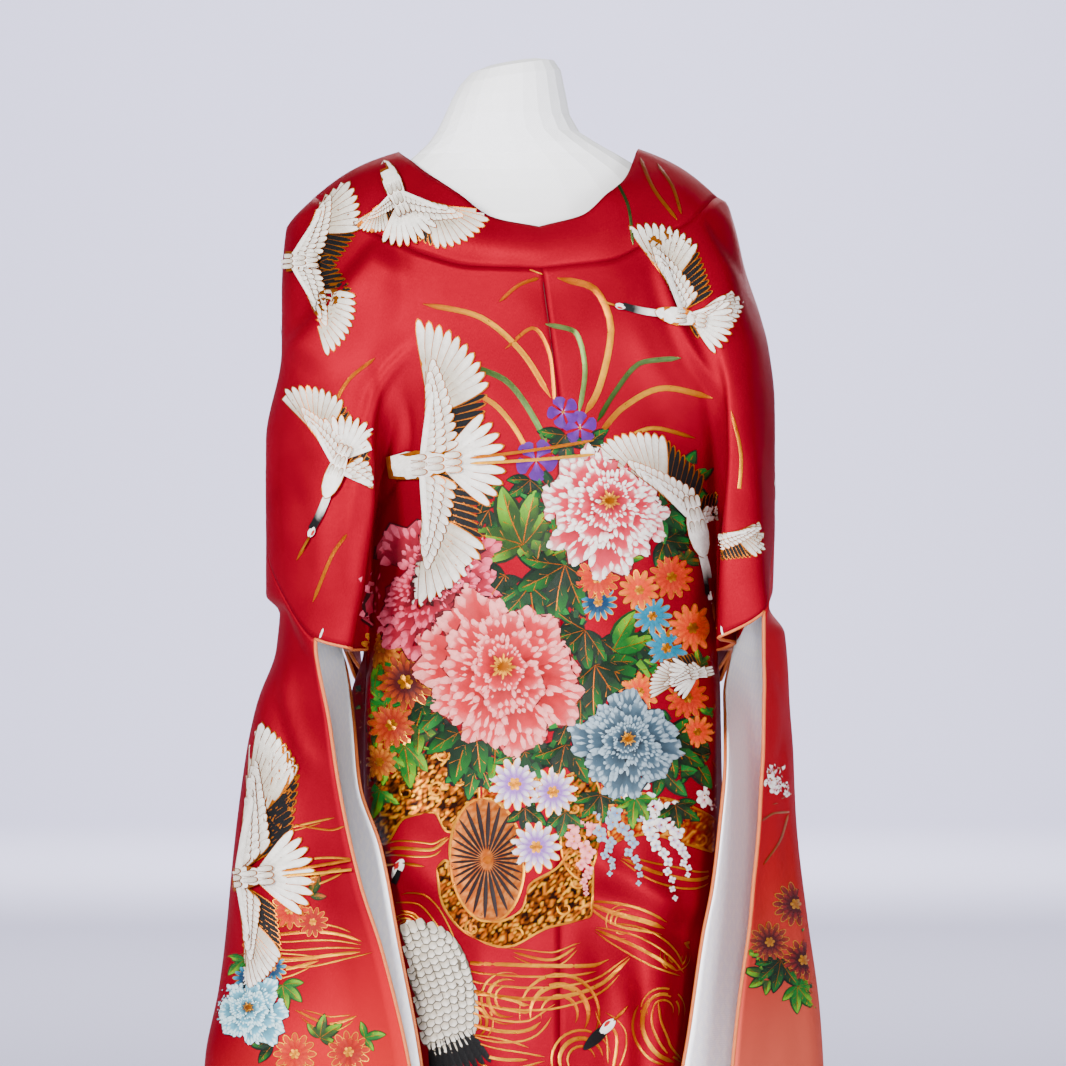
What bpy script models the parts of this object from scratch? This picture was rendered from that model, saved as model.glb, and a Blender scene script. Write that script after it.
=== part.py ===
"""An uchikake, a padded wedding over-kimono, hung open on a limbless dress form.

Metres, +Z up. The back of the garment faces -Y. The origin is the centre of the stand's underside.
Every cloth piece is a wall laid on a few guide lines. A guide is one line down the cloth, given as a
short table of (z, x, y). Guide 0 is the centre back, 8 the shoulder line, 16 the front edge.
"""

import bpy
import bmesh
import numpy as np

# Driving dimensions
CLOTH = 0.0030  # lined brocade wall
LINING = 0.0018  # sleeve lining wall
SEAM_GAP = 0.0004
ARMHOLE_GAP = 0.0016  # the sleeve's side of the armhole, whose seam bends two ways
LINING_GAP = 0.0010
TURN_Z = 0.15  # where the robe starts to turn onto the floor
TRAIN_REST_Z = 0.0095  # middle of the cloth where it lies beside the hem roll
ROLL_RADIUS = 0.0085  # padded hem roll
CUFF_TOP, CUFF_BOTTOM = 0.78, 0.56  # the open hand slit of a sleeve
ARM_ROW = 8  # walls' rows from the collar seam to the armhole
SLEEVE_CLOSE = 0.07  # height over which the two layers of a sleeve come together
STAND_RADIUS, STAND_HEIGHT = 0.17, 0.018
POLE_RADIUS = 0.016

CENTRE, MID, BODY_SIDE, VALLEY, FLAP, RIDGE, TACK, OUTER, TOP = range(9)
OUTER_F, TACK_F, RIDGE_F, FLAP_F, VALLEY_F, BODY_SIDE_F, OKUMI, EDGE = range(9, 17)

CENTRE_BACK = [
    (1.40, 0.004, -0.138), (1.373, 0.008, -0.143), (1.313, 0.016, -0.153), (1.207, 0.027, -0.158),
    (1.10, 0.027, -0.150), (1.00, 0.027, -0.147), (0.80, 0.024, -0.156), (0.60, 0.024, -0.166),
    (0.35, 0.022, -0.174), (0.15, 0.020, -0.180),
]

# Rows of each guide: height z, sideways x, depth y
LEFT = {
    CENTRE: CENTRE_BACK,
    MID: [
        (1.40, -0.065, -0.128), (1.30, -0.062, -0.145), (1.20, -0.065, -0.149), (1.10, -0.075, -0.136),
        (1.00, -0.083, -0.126), (0.80, -0.085, -0.136), (0.60, -0.090, -0.143), (0.15, -0.105, -0.155),
    ],
    BODY_SIDE: [
        (1.45, -0.112, -0.100), (1.394, -0.116, -0.117), (1.30, -0.118, -0.127), (1.20, -0.130, -0.112),
        (1.15, -0.143, -0.085), (1.10, -0.150, -0.060), (1.00, -0.157, -0.050), (0.92, -0.163, -0.058),
        (0.80, -0.158, -0.064), (0.60, -0.162, -0.072), (0.15, -0.180, -0.090),
    ],
    VALLEY: [
        (1.45, -0.128, -0.093), (1.40, -0.132, -0.107), (1.30, -0.134, -0.123), (1.25, -0.137, -0.118),
        (1.20, -0.146, -0.098), (1.15, -0.158, -0.062), (1.10, -0.164, -0.034), (1.00, -0.168, -0.018),
        (0.93, -0.170, -0.007), (0.87, -0.171, 0.0), (0.80, -0.169, 0.0), (0.60, -0.175, 0.0),
        (0.15, -0.195, 0.0),
    ],
    FLAP: [
        (1.45, -0.145, -0.086), (1.40, -0.148, -0.101), (1.30, -0.150, -0.121), (1.25, -0.152, -0.121),
        (1.20, -0.158, -0.110), (1.15, -0.171, -0.085), (1.10, -0.181, -0.058), (1.00, -0.187, -0.040),
        (0.95, -0.160, 0.050), (0.60, -0.162, 0.066), (0.15, -0.180, 0.088),
    ],
    RIDGE: [
        (1.45, -0.163, -0.077), (1.41, -0.166, -0.090), (1.30, -0.166, -0.118), (1.25, -0.164, -0.127),
        (1.20, -0.162, -0.130), (1.15, -0.160, -0.130), (1.10, -0.167, -0.127), (1.00, -0.185, -0.121),
    ],
    TACK: [
        (1.45, -0.190, -0.058), (1.42, -0.196, -0.070), (1.30, -0.200, -0.104), (1.20, -0.205, -0.118),
        (1.10, -0.212, -0.119), (1.013, -0.217, -0.116),
    ],
    OUTER: [
        (1.4545, -0.212, -0.028), (1.43, -0.233, -0.035), (1.355, -0.244, -0.048), (1.30, -0.245, -0.058),
        (1.21, -0.259, -0.064), (1.00, -0.260, -0.064),
    ],
    TOP: [
        (1.4545, -0.2205, 0.0), (1.432, -0.243, 0.0), (1.423, -0.249, 0.0), (1.355, -0.2535, 0.0),
        (1.30, -0.2535, 0.0), (1.21, -0.2685, 0.0), (1.05, -0.2685, 0.010),
    ],
    OUTER_F: [
        (1.4545, -0.212, 0.028), (1.43, -0.233, 0.035), (1.355, -0.243, 0.050), (1.20, -0.255, 0.060),
        (1.00, -0.252, 0.064),
    ],
    TACK_F: [
        (1.45, -0.190, 0.055), (1.40, -0.200, 0.075), (1.30, -0.208, 0.092), (1.10, -0.208, 0.092),
        (1.00, -0.200, 0.078),
    ],
    RIDGE_F: [(1.42, -0.178, 0.085), (1.30, -0.183, 0.108), (1.20, -0.178, 0.116), (1.00, -0.180, 0.098)],
    FLAP_F: [
        (1.42, -0.162, 0.094), (1.30, -0.165, 0.112), (1.20, -0.168, 0.096), (1.10, -0.184, 0.060),
        (1.00, -0.188, 0.046), (0.95, -0.160, -0.056), (0.60, -0.162, -0.070), (0.15, -0.180, -0.090),
    ],
    VALLEY_F: [
        (1.42, -0.150, 0.098), (1.30, -0.150, 0.115), (1.20, -0.152, 0.080), (1.10, -0.166, 0.034),
        (1.00, -0.169, 0.018), (0.93, -0.170, 0.007), (0.87, -0.171, 0.0), (0.80, -0.169, 0.0),
        (0.60, -0.175, 0.0), (0.15, -0.195, 0.0),
    ],
    BODY_SIDE_F: [
        (1.42, -0.143, 0.100), (1.32, -0.138, 0.118), (1.20, -0.136, 0.101), (1.10, -0.154, 0.068),
        (1.02, -0.168, 0.061), (0.99, -0.173, 0.058), (0.95, -0.185, 0.056), (0.85, -0.180, 0.059),
        (0.70, -0.171, 0.066),
        (0.60, -0.166, 0.070), (0.15, -0.176, 0.088),
    ],
    OKUMI: [
        (1.33, -0.125, 0.128), (1.12, -0.124, 0.122), (1.00, -0.120, 0.116), (0.60, -0.122, 0.122),
        (0.15, -0.132, 0.136),
    ],
    EDGE: [
        (1.33, -0.050, 0.150), (1.12, -0.045, 0.152), (0.80, -0.040, 0.150), (0.60, -0.045, 0.150),
        (0.15, -0.060, 0.160),
    ],
}
RIGHT = {
    CENTRE: CENTRE_BACK,
    MID: [
        (1.40, 0.075, -0.125), (1.30, 0.085, -0.141), (1.20, 0.098, -0.143), (1.10, 0.107, -0.128),
        (1.00, 0.112, -0.119), (0.80, 0.115, -0.129), (0.60, 0.118, -0.140), (0.15, 0.128, -0.154),
    ],
    BODY_SIDE: [
        (1.45, 0.105, -0.096), (1.40, 0.111, -0.111), (1.30, 0.143, -0.119), (1.25, 0.158, -0.110),
        (1.20, 0.164, -0.090), (1.15, 0.168, -0.068), (1.00, 0.171, -0.052), (0.92, 0.174, -0.056),
        (0.80, 0.175, -0.066), (0.60, 0.178, -0.074), (0.15, 0.195, -0.090),
    ],
    VALLEY: [
        (1.45, 0.118, -0.089), (1.40, 0.125, -0.103), (1.30, 0.160, -0.111), (1.25, 0.173, -0.101),
        (1.20, 0.178, -0.075), (1.15, 0.181, -0.048), (1.10, 0.182, -0.028), (1.00, 0.182, -0.018),
        (0.93, 0.182, -0.007), (0.87, 0.182, 0.0), (0.80, 0.184, 0.0), (0.60, 0.189, 0.0),
        (0.15, 0.205, 0.0),
    ],
    FLAP: [
        (1.45, 0.131, -0.081), (1.40, 0.140, -0.096), (1.30, 0.175, -0.108), (1.25, 0.187, -0.105),
        (1.20, 0.193, -0.086), (1.15, 0.197, -0.064), (1.10, 0.199, -0.046), (1.00, 0.200, -0.038),
        (0.95, 0.176, 0.050), (0.60, 0.178, 0.068), (0.15, 0.195, 0.088),
    ],
    RIDGE: [
        (1.45, 0.145, -0.072), (1.41, 0.154, -0.086), (1.30, 0.186, -0.107), (1.25, 0.192, -0.113),
        (1.20, 0.192, -0.116), (1.15, 0.189, -0.116), (1.10, 0.186, -0.114), (1.00, 0.183, -0.112),
    ],
    TACK: [
        (1.45, 0.162, -0.054), (1.42, 0.175, -0.066), (1.30, 0.205, -0.093), (1.20, 0.214, -0.103),
        (1.10, 0.219, -0.107), (1.04, 0.226, -0.106),
    ],
    OUTER: [
        (1.4545, 0.176, -0.026), (1.43, 0.192, -0.035), (1.355, 0.209, -0.047), (1.30, 0.225, -0.054),
        (1.21, 0.234, -0.058), (1.00, 0.234, -0.058),
    ],
    TOP: [
        (1.4545, 0.182, 0.0), (1.451, 0.190, 0.0), (1.431, 0.198, 0.0), (1.382, 0.210, 0.0),
        (1.333, 0.226, 0.0), (1.305, 0.233, 0.0), (1.248, 0.2395, 0.0), (1.12, 0.240, 0.0),
        (1.04, 0.236, 0.008),
    ],
    OUTER_F: [
        (1.4545, 0.176, 0.026), (1.43, 0.190, 0.035), (1.355, 0.208, 0.048), (1.20, 0.231, 0.058),
        (1.00, 0.232, 0.062),
    ],
    TACK_F: [
        (1.45, 0.162, 0.054), (1.40, 0.180, 0.075), (1.30, 0.200, 0.090), (1.10, 0.208, 0.090),
        (1.00, 0.205, 0.078),
    ],
    RIDGE_F: [(1.42, 0.160, 0.085), (1.30, 0.186, 0.106), (1.20, 0.188, 0.112), (1.00, 0.188, 0.098)],
    FLAP_F: [
        (1.42, 0.148, 0.094), (1.30, 0.170, 0.112), (1.20, 0.182, 0.096), (1.10, 0.197, 0.060),
        (1.00, 0.199, 0.046), (0.95, 0.173, -0.056), (0.60, 0.176, -0.072), (0.15, 0.195, -0.090),
    ],
    VALLEY_F: [
        (1.42, 0.138, 0.098), (1.30, 0.155, 0.115), (1.20, 0.168, 0.080), (1.10, 0.180, 0.034),
        (1.00, 0.182, 0.018), (0.93, 0.182, 0.007), (0.87, 0.182, 0.0), (0.80, 0.184, 0.0),
        (0.60, 0.189, 0.0), (0.15, 0.205, 0.0),
    ],
    BODY_SIDE_F: [
        (1.42, 0.130, 0.100), (1.32, 0.142, 0.118), (1.20, 0.152, 0.101), (1.10, 0.168, 0.068),
        (1.02, 0.180, 0.060), (0.95, 0.185, 0.057), (0.85, 0.186, 0.060), (0.70, 0.183, 0.066),
        (0.60, 0.180, 0.070), (0.15, 0.192, 0.088),
    ],
    OKUMI: [
        (1.33, 0.128, 0.128), (1.12, 0.134, 0.122), (1.00, 0.134, 0.116), (0.60, 0.138, 0.122),
        (0.15, 0.148, 0.136),
    ],
    EDGE: [
        (1.33, 0.060, 0.150), (1.12, 0.065, 0.152), (0.80, 0.070, 0.150), (0.60, 0.072, 0.150),
        (0.15, 0.085, 0.160),
    ],
}

# The sleeve's own guides, from the armhole seam down
LEFT_SLEEVE = {
    TACK: [
        (1.06, -0.2165, -0.118), (1.013, -0.217, -0.116), (0.930, -0.203, -0.130), (0.878, -0.195, -0.138),
        (0.772, -0.171, -0.150), (0.704, -0.149, -0.160), (0.584, -0.121, -0.175), (0.40, -0.100, -0.196),
        (0.18, -0.092, -0.208),
    ],
    OUTER: [
        (1.14, -0.260, -0.064), (1.055, -0.261, -0.060), (1.038, -0.249, -0.056), (1.00, -0.252, -0.052),
        (0.955, -0.268, -0.052), (0.90, -0.280, -0.053), (0.80, -0.292, -0.056), (0.66, -0.306, -0.060),
        (0.59, -0.320, -0.062), (0.40, -0.330, -0.064), (0.18, -0.334, -0.064),
    ],
    TOP: [
        (1.14, -0.2685, 0.003), (1.055, -0.2675, 0.022), (1.038, -0.254, 0.030), (1.00, -0.255, 0.040),
        (0.955, -0.265, 0.048), (0.90, -0.277, 0.058), (0.80, -0.290, 0.066), (0.66, -0.303, 0.072),
        (0.59, -0.314, 0.076), (0.40, -0.320, 0.080), (0.18, -0.322, 0.080),
    ],
    OUTER_F: [
        (1.14, -0.254, 0.062), (1.055, -0.248, 0.070), (1.00, -0.228, 0.072), (0.93, -0.227, 0.050),
        (0.80, -0.237, 0.022), (0.66, -0.252, 0.000), (0.59, -0.258, -0.008), (0.18, -0.268, -0.020),
    ],
    TACK_F: [
        (1.06, -0.206, 0.087), (1.01, -0.2005, 0.079), (0.97, -0.189, 0.034), (0.93, -0.182, -0.018),
        (0.865, -0.174, -0.080), (0.806, -0.153, -0.098), (0.71, -0.134, -0.124), (0.584, -0.110, -0.150),
        (0.40, -0.092, -0.170), (0.18, -0.086, -0.180),
    ],
}
RIGHT_SLEEVE = {
    TACK: [
        (1.08, 0.221, -0.1065), (1.04, 0.226, -0.106), (0.929, 0.225, -0.120), (0.842, 0.222, -0.130),
        (0.767, 0.215, -0.140), (0.654, 0.199, -0.158), (0.584, 0.192, -0.168), (0.40, 0.182, -0.190),
        (0.18, 0.176, -0.202),
    ],
    OUTER: [
        (1.14, 0.234, -0.058), (1.06, 0.233, -0.055), (1.043, 0.230, -0.052), (1.016, 0.245, -0.050),
        (0.93, 0.250, -0.052), (0.83, 0.255, -0.055), (0.73, 0.266, -0.057), (0.64, 0.277, -0.060),
        (0.584, 0.281, -0.061), (0.40, 0.288, -0.064), (0.18, 0.292, -0.064),
    ],
    TOP: [
        (1.14, 0.240, 0.001), (1.06, 0.238, 0.018), (1.043, 0.234, 0.024), (1.016, 0.247, 0.032),
        (0.93, 0.251, 0.046), (0.83, 0.256, 0.058), (0.73, 0.265, 0.066), (0.64, 0.276, 0.072),
        (0.584, 0.280, 0.075), (0.40, 0.284, 0.080), (0.18, 0.286, 0.080),
    ],
    OUTER_F: [
        (1.14, 0.2315, 0.060), (1.055, 0.229, 0.072), (1.00, 0.226, 0.078), (0.93, 0.221, 0.056),
        (0.80, 0.225, 0.016), (0.66, 0.237, -0.006), (0.59, 0.242, -0.014), (0.18, 0.252, -0.026),
    ],
    TACK_F: [
        (1.06, 0.2065, 0.085), (1.01, 0.2055, 0.080), (0.985, 0.199, 0.068), (0.955, 0.192, 0.034),
        (0.93, 0.191, -0.008), (0.883, 0.189, -0.072), (0.832, 0.184, -0.094), (0.767, 0.176, -0.110), (0.72, 0.166, -0.122),
        (0.62, 0.150, -0.140), (0.584, 0.144, -0.145), (0.40, 0.132, -0.164), (0.18, 0.124, -0.176),
    ],
}

# Height of the collar seam and of the armhole line at each guide
ARM_BACK = [TACK, 6.4, 6.8, 7.2, 7.55, 7.8, TOP]
ARM_FRONT = [TOP, 8.2, 8.45, 8.8, 9.2, 9.6, TACK_F]
BACK_GUIDES = [k / 3 for k in range(10)] + [3.5, FLAP, 4.5, RIDGE, 5.5] + ARM_BACK
FRONT_GUIDES = ARM_FRONT + [10.6, RIDGE_F, 11.5, FLAP_F, 12.5, VALLEY_F, 13.5, BODY_SIDE_F, 14.5, OKUMI]
COLLAR_END = 15.3  # guide at the lower end of the collar's seam
OKUMI_GUIDES = [OKUMI, 15.1, COLLAR_END, 15.65, EDGE]
COLLAR_SEAM_Z = {
    "left": [1.377, 1.380, 1.394, 1.402, 1.409, 1.418, 1.437, 1.450, 1.4545,
             1.448, 1.432, 1.410, 1.392, 1.370, 1.335, 1.120, 0.806],
    "right": [1.377, 1.386, 1.402, 1.408, 1.416, 1.424, 1.439, 1.451, 1.4545,
              1.449, 1.434, 1.412, 1.394, 1.372, 1.335, 1.120, 0.806],
}
ARMHOLE_Z = {
    "left": [1.0, 1.0, 1.0, 1.0, 1.0, 1.004, 1.013, 1.076, 1.130,
             1.082, 1.012, 0.965, 1.0, 1.0, 1.0, 1.0, 0.72],
    "right": [1.0, 1.0, 1.0, 1.0, 1.007, 1.015, 1.040, 1.088, 1.130,
              1.084, 1.012, 0.965, 1.0, 1.0, 1.0, 1.0, 0.72],
}
SLEEVE_END_Z = [0.205, 0.185, 0.180, 0.185, 0.205]  # at guides TACK to TACK_F

# Where each guide reaches the hem on the floor: x, y
HEM = {
    "left": {CENTRE: (0.020, -0.560), MID: (-0.170, -0.530), BODY_SIDE: (-0.300, -0.390),
             VALLEY: (-0.345, -0.150), FLAP: (-0.330, 0.060), FLAP_F: (-0.320, -0.300),
             VALLEY_F: (-0.345, -0.150), BODY_SIDE_F: (-0.310, 0.100), OKUMI: (-0.215, 0.235),
             EDGE: (-0.110, 0.270)},
    "right": {CENTRE: (0.020, -0.560), MID: (0.200, -0.530), BODY_SIDE: (0.320, -0.390),
              VALLEY: (0.360, -0.150), FLAP: (0.345, 0.060), FLAP_F: (0.335, -0.300),
              VALLEY_F: (0.360, -0.150), BODY_SIDE_F: (0.325, 0.100), OKUMI: (0.235, 0.235),
              EDGE: (0.130, 0.270)},
}

# Soft folds pressed into the cloth: guide, half width in guides, top z, bottom z, depth, slant per metre
BODY_FOLDS = {
    "left": [(0.45, 0.50, 0.86, 0.02, 0.010, 0.3), (1.35, 0.45, 0.80, 0.02, -0.012, 0.2),
             (2.20, 0.40, 0.70, 0.02, 0.010, 0.0), (14.4, 0.35, 0.95, 0.02, 0.010, 0.0),
             (15.4, 0.30, 0.70, 0.02, -0.008, 0.0)],
    "right": [(0.55, 0.42, 0.84, 0.02, -0.016, -0.5), (1.10, 0.38, 0.80, 0.02, 0.018, -0.6),
              (1.75, 0.40, 0.72, 0.02, -0.012, -0.4), (2.40, 0.35, 0.60, 0.02, 0.008, 0.0),
              (14.3, 0.35, 0.90, 0.02, -0.010, 0.0), (15.5, 0.30, 0.75, 0.02, 0.008, 0.0)],
}
SLEEVE_FOLDS = {
    "left": [(6.75, 0.35, 0.98, 0.20, 0.007, -0.5), (7.45, 0.35, 0.90, 0.20, -0.008, 0.2)],
    "right": [(6.60, 0.30, 0.95, 0.20, -0.006, 0.3), (7.40, 0.35, 0.90, 0.20, 0.008, -0.2)],
}
# The near layer that laps over the shoulder: a line from the collar seam to the outline, and its height
SHOULDER_LAP = {
    "left": ((-0.150, 1.412), (-0.254, 1.296), 0.011),
    "right": ((0.163, 1.432), (0.226, 1.338), 0.007),
}

# Inner edge of the collar beside each guide: guide, x, y, z
COLLAR_EDGE = {
    "left": [(0.0, 0.004, -0.123, 1.418), (1.0, -0.043, -0.117, 1.429), (2.0, -0.072, -0.106, 1.450),
             (3.0, -0.083, -0.096, 1.458), (4.0, -0.096, -0.082, 1.467), (5.0, -0.110, -0.063, 1.477),
             (6.0, -0.124, -0.040, 1.489), (7.0, -0.133, -0.020, 1.496), (8.0, -0.137, 0.002, 1.500),
             (9.0, -0.135, 0.024, 1.494), (10.0, -0.130, 0.047, 1.478), (11.0, -0.121, 0.072, 1.450),
             (12.0, -0.112, 0.094, 1.420), (13.0, -0.101, 0.114, 1.385), (14.0, -0.080, 0.132, 1.330),
             (15.0, -0.045, 0.152, 1.110), (15.3, -0.040, 0.150, 0.820)],
    "right": [(0.0, 0.004, -0.123, 1.418), (1.0, 0.047, -0.117, 1.430), (2.0, 0.070, -0.106, 1.451),
              (3.0, 0.080, -0.097, 1.459), (4.0, 0.088, -0.084, 1.467), (5.0, 0.094, -0.065, 1.478),
              (6.0, 0.099, -0.040, 1.492), (7.0, 0.102, -0.020, 1.500), (8.0, 0.104, 0.002, 1.5025),
              (9.0, 0.103, 0.024, 1.497), (10.0, 0.100, 0.047, 1.482), (11.0, 0.098, 0.072, 1.455),
              (12.0, 0.095, 0.094, 1.425), (13.0, 0.092, 0.114, 1.388), (14.0, 0.084, 0.132, 1.330),
              (15.0, 0.065, 0.152, 1.110), (15.3, 0.070, 0.150, 0.820)],
}

# Dress form rings: z, half width, half depth, centre x, centre y, squareness
FORM_RINGS = [
    (0.780, 0.118, 0.082, 0.008, 0.0, 2.2), (0.800, 0.132, 0.094, 0.008, 0.0, 2.2),
    (0.880, 0.138, 0.104, 0.008, 0.0, 2.2), (0.960, 0.126, 0.092, 0.008, 0.0, 2.2),
    (1.040, 0.110, 0.082, 0.008, 0.0, 2.2), (1.120, 0.114, 0.088, 0.006, 0.0, 2.2),
    (1.200, 0.120, 0.098, 0.004, 0.0, 2.2), (1.280, 0.124, 0.100, 0.000, 0.0, 2.3),
    (1.350, 0.136, 0.094, -0.006, -0.002, 2.4), (1.400, 0.152, 0.086, -0.012, -0.006, 2.4),
    (1.435, 0.160, 0.076, -0.015, -0.008, 2.3), (1.460, 0.150, 0.059, -0.015, -0.008, 2.2),
    (1.480, 0.126, 0.051, -0.014, -0.006, 2.1), (1.497, 0.102, 0.048, -0.018, -0.006, 2.0),
    (1.508, 0.086, 0.050, -0.022, -0.007, 2.0), (1.520, 0.072, 0.052, -0.027, -0.006, 2.0),
    (1.537, 0.063, 0.053, -0.028, -0.005, 2.0), (1.558, 0.057, 0.052, -0.027, -0.001, 2.0),
    (1.575, 0.051, 0.048, -0.025, 0.001, 2.0), (1.586, 0.042, 0.041, -0.023, 0.001, 2.0),
    (1.5905, 0.026, 0.026, -0.022, 0.001, 2.0),
]
NECK_TILT = 0.16  # the neck's cut top rises to the right
FORM_SIDES = 24


def smooth(table, at):
    """The columns of a table at the values `at`, on a curve that never overshoots its rows."""
    rows = np.array(sorted(table))
    key, values = rows[:, 0], rows[:, 1:]
    at = np.clip(at, key[0], key[-1])
    step = np.diff(key)[:, None]
    rise = np.diff(values, axis=0) / step
    slope = np.zeros_like(values)
    same = rise[1:] * rise[:-1] > 0
    weight = step[1:] + step[:-1]
    first, second = step[1:] + weight, step[:-1] + weight
    safe = np.where(same, rise[1:], 1.0), np.where(same, rise[:-1], 1.0)
    slope[1:-1] = np.where(same, (first + second) / (second / safe[0] + first / safe[1]), 0.0)
    slope[0], slope[-1] = rise[0], rise[-1]
    i = np.clip(np.searchsorted(key, at, side="right") - 1, 0, len(key) - 2)
    h = step[i]
    t = (at - key[i])[:, None] / h
    return (values[i] * (1 + 2 * t) * (1 - t) ** 2 + slope[i] * h * t * (1 - t) ** 2
            + values[i + 1] * t * t * (3 - 2 * t) - slope[i + 1] * h * t * t * (1 - t))


def ease(value):
    value = np.clip(value, 0.0, 1.0)
    return value * value * (3.0 - 2.0 * value)


def through(points, local):
    """A centripetal curve through the middle two of four neighbouring points, at local 0 to 1."""
    p0, p1, p2, p3 = points
    knots = [np.zeros(len(p0))]
    for a, b in ((p0, p1), (p1, p2), (p2, p3)):
        knots.append(knots[-1] + np.maximum(np.linalg.norm(b - a, axis=1), 1e-6) ** 0.5)
    k0, k1, k2, k3 = (k[:, None] for k in knots)
    t = k1 + local[:, None] * (k2 - k1)
    a1 = ((k1 - t) * p0 + (t - k0) * p1) / (k1 - k0)
    a2 = ((k2 - t) * p1 + (t - k1) * p2) / (k2 - k1)
    a3 = ((k3 - t) * p2 + (t - k2) * p3) / (k3 - k2)
    b1 = ((k2 - t) * a1 + (t - k0) * a2) / (k2 - k0)
    b2 = ((k3 - t) * a2 + (t - k1) * a3) / (k3 - k1)
    return ((k2 - t) * b1 + (t - k1) * b2) / (k2 - k1)


def across(lines, guide):
    """Points at the given guide numbers, where lines[g] holds guide g at the same heights."""
    low = np.clip(np.floor(guide), 0, 15).astype(int)
    four = []
    for shift in (-1, 0, 1, 2):
        number = low + shift
        four.append(np.array([lines[n][k] for k, n in enumerate(number)]))
    return through(four, guide - low)


def fold_push(folds, guide, z):
    push = np.zeros(len(z))
    for at, half, top, bottom, depth, slant in folds:
        middle = at + slant * (top - z)
        side = np.clip(np.abs(guide - middle) / half, 0.0, 1.0)
        fade = ease((top - z) / 0.16) * ease((z - bottom) / 0.10)
        push += depth * fade * (0.5 + 0.5 * np.cos(np.pi * side))
    return push


class Side:
    """One side of the robe: the surfaces that its walls are laid on."""

    def __init__(self, name, guides, sleeve):
        self.name = name
        self.sign = -1.0 if name == "left" else 1.0
        self.guides = guides
        self.sleeve = sleeve
        self.other = None

    def heights(self, table, guide):
        rows = list(enumerate(table[self.name]))
        if len(rows) > OKUMI:
            rows.append((COLLAR_END, rows[-1][1] + 0.004))
        return smooth(rows, guide)[:, 0]

    def lines(self, z):
        lines = {g: smooth(table, z) for g, table in self.guides.items()}
        lines[-1] = smooth(self.other.guides[MID], z)
        lines[17] = 2 * lines[EDGE] - lines[OKUMI]
        return lines

    def hang(self, guide, z):
        """The hanging cloth at height z, with its lap at the shoulder and its soft folds."""
        xy = across(self.lines(z), guide)
        (x0, z0), (x1, z1), height = SHOULDER_LAP[self.name]
        length = np.hypot(x1 - x0, z1 - z0)
        off = ((xy[:, 0] - x0) * (z1 - z0) - (z - z0) * (x1 - x0)) / length * self.sign
        along = ((xy[:, 0] - x0) * (x1 - x0) + (z - z0) * (z1 - z0)) / length ** 2
        lap = height * ease(0.5 + off / 0.016) * ease(1.0 - (off - 0.008) / 0.06)
        lap *= ease((along + 0.02) / 0.2) * (1 - ease((along - 0.85) / 0.2)) * (guide < 8)
        push = fold_push(BODY_FOLDS[self.name], guide, z)
        facing = np.where(guide < 8, -1.0, 1.0)
        xy[:, 1] += facing * push - lap
        return np.column_stack([xy, z])

    def body(self, guide, row):
        """row 0 at the collar seam, 1 at the armhole line, 2 where it turns, 3 at the hem on the floor."""
        guide, row = np.broadcast_arrays(np.asarray(guide, float), np.asarray(row, float))
        top, arm = self.heights(COLLAR_SEAM_Z, guide), self.heights(ARMHOLE_Z, guide)
        z = np.where(row < 1, top + row * (arm - top), arm + np.clip(row - 1, 0, 1) * (TURN_Z - arm))
        point = self.hang(guide, z)
        laid = row > 2
        if laid.any():
            q = (row[laid] - 2)[:, None]
            start = point[laid]
            hem = {g: np.array([xy] * laid.sum()) for g, xy in HEM[self.name].items()}
            hem[-1] = np.array([self.other.hem_mid()] * laid.sum())
            hem[17] = 2 * hem[EDGE] - hem[OKUMI]
            for g in range(RIDGE, FLAP_F):
                hem[g] = hem[FLAP] + (g - FLAP) * 0.02
            end = np.column_stack([across(hem, guide[laid]), np.full(laid.sum(), TRAIN_REST_Z)])
            down = start * [1, 1, 0] + [0, 0, TURN_Z * 0.30]
            out = start + 0.22 * (end - start)
            out[:, 2] = TRAIN_REST_Z + 0.004
            point[laid] = (start * (1 - q) ** 3 + 3 * down * q * (1 - q) ** 2
                           + 3 * out * q * q * (1 - q) + end * q ** 3)
        return point

    def hem_mid(self):
        return HEM[self.name][MID]

    def loose_sleeve(self, guide, z):
        lines = {g: smooth(table, z) for g, table in self.sleeve.items()}
        lines[RIDGE] = 2 * lines[TACK] - lines[OUTER]
        lines[RIDGE_F] = 2 * lines[TACK_F] - lines[OUTER_F]
        for g in (-1, *range(0, 5), *range(12, 18)):
            lines[g] = lines[RIDGE]
        return across(lines, guide)

    def sleeve_surface(self, guide, row):
        """row 0 at the armhole seam, 1 at the sewn lower end; guide TACK to TACK_F."""
        guide, row = np.broadcast_arrays(np.asarray(guide, float), np.asarray(row, float))
        top = self.heights(ARMHOLE_Z, guide)
        low = smooth([(TACK + g, z) for g, z in enumerate(SLEEVE_END_Z)], guide)[:, 0]
        z = top + row * (low - top)
        xy = self.loose_sleeve(guide, z)
        xy[:, 1] -= fold_push(SLEEVE_FOLDS[self.name], guide, z) * ease((row - 0.02) / 0.1)
        seam = self.hang(guide, z)[:, :2]
        meet = ease(1.0 - row / 0.035)[:, None]
        xy = seam * meet + xy * (1 - meet)
        facing = self.loose_sleeve(16.0 - guide, z)
        near = ease((low + SLEEVE_CLOSE - z) / SLEEVE_CLOSE) * np.abs(guide - TOP) / 2.0
        near = np.clip(near * 1.2, 0.0, 1.0)[:, None]
        half = (CLOTH + SEAM_GAP * 2) * 0.6 * near * np.where(guide < TOP, -1.0, 1.0)[:, None]
        xy = xy * (1 - near * 0.5) + facing * near * 0.5 + half * [0.0, 1.0]
        return np.column_stack([xy, z])


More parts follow.
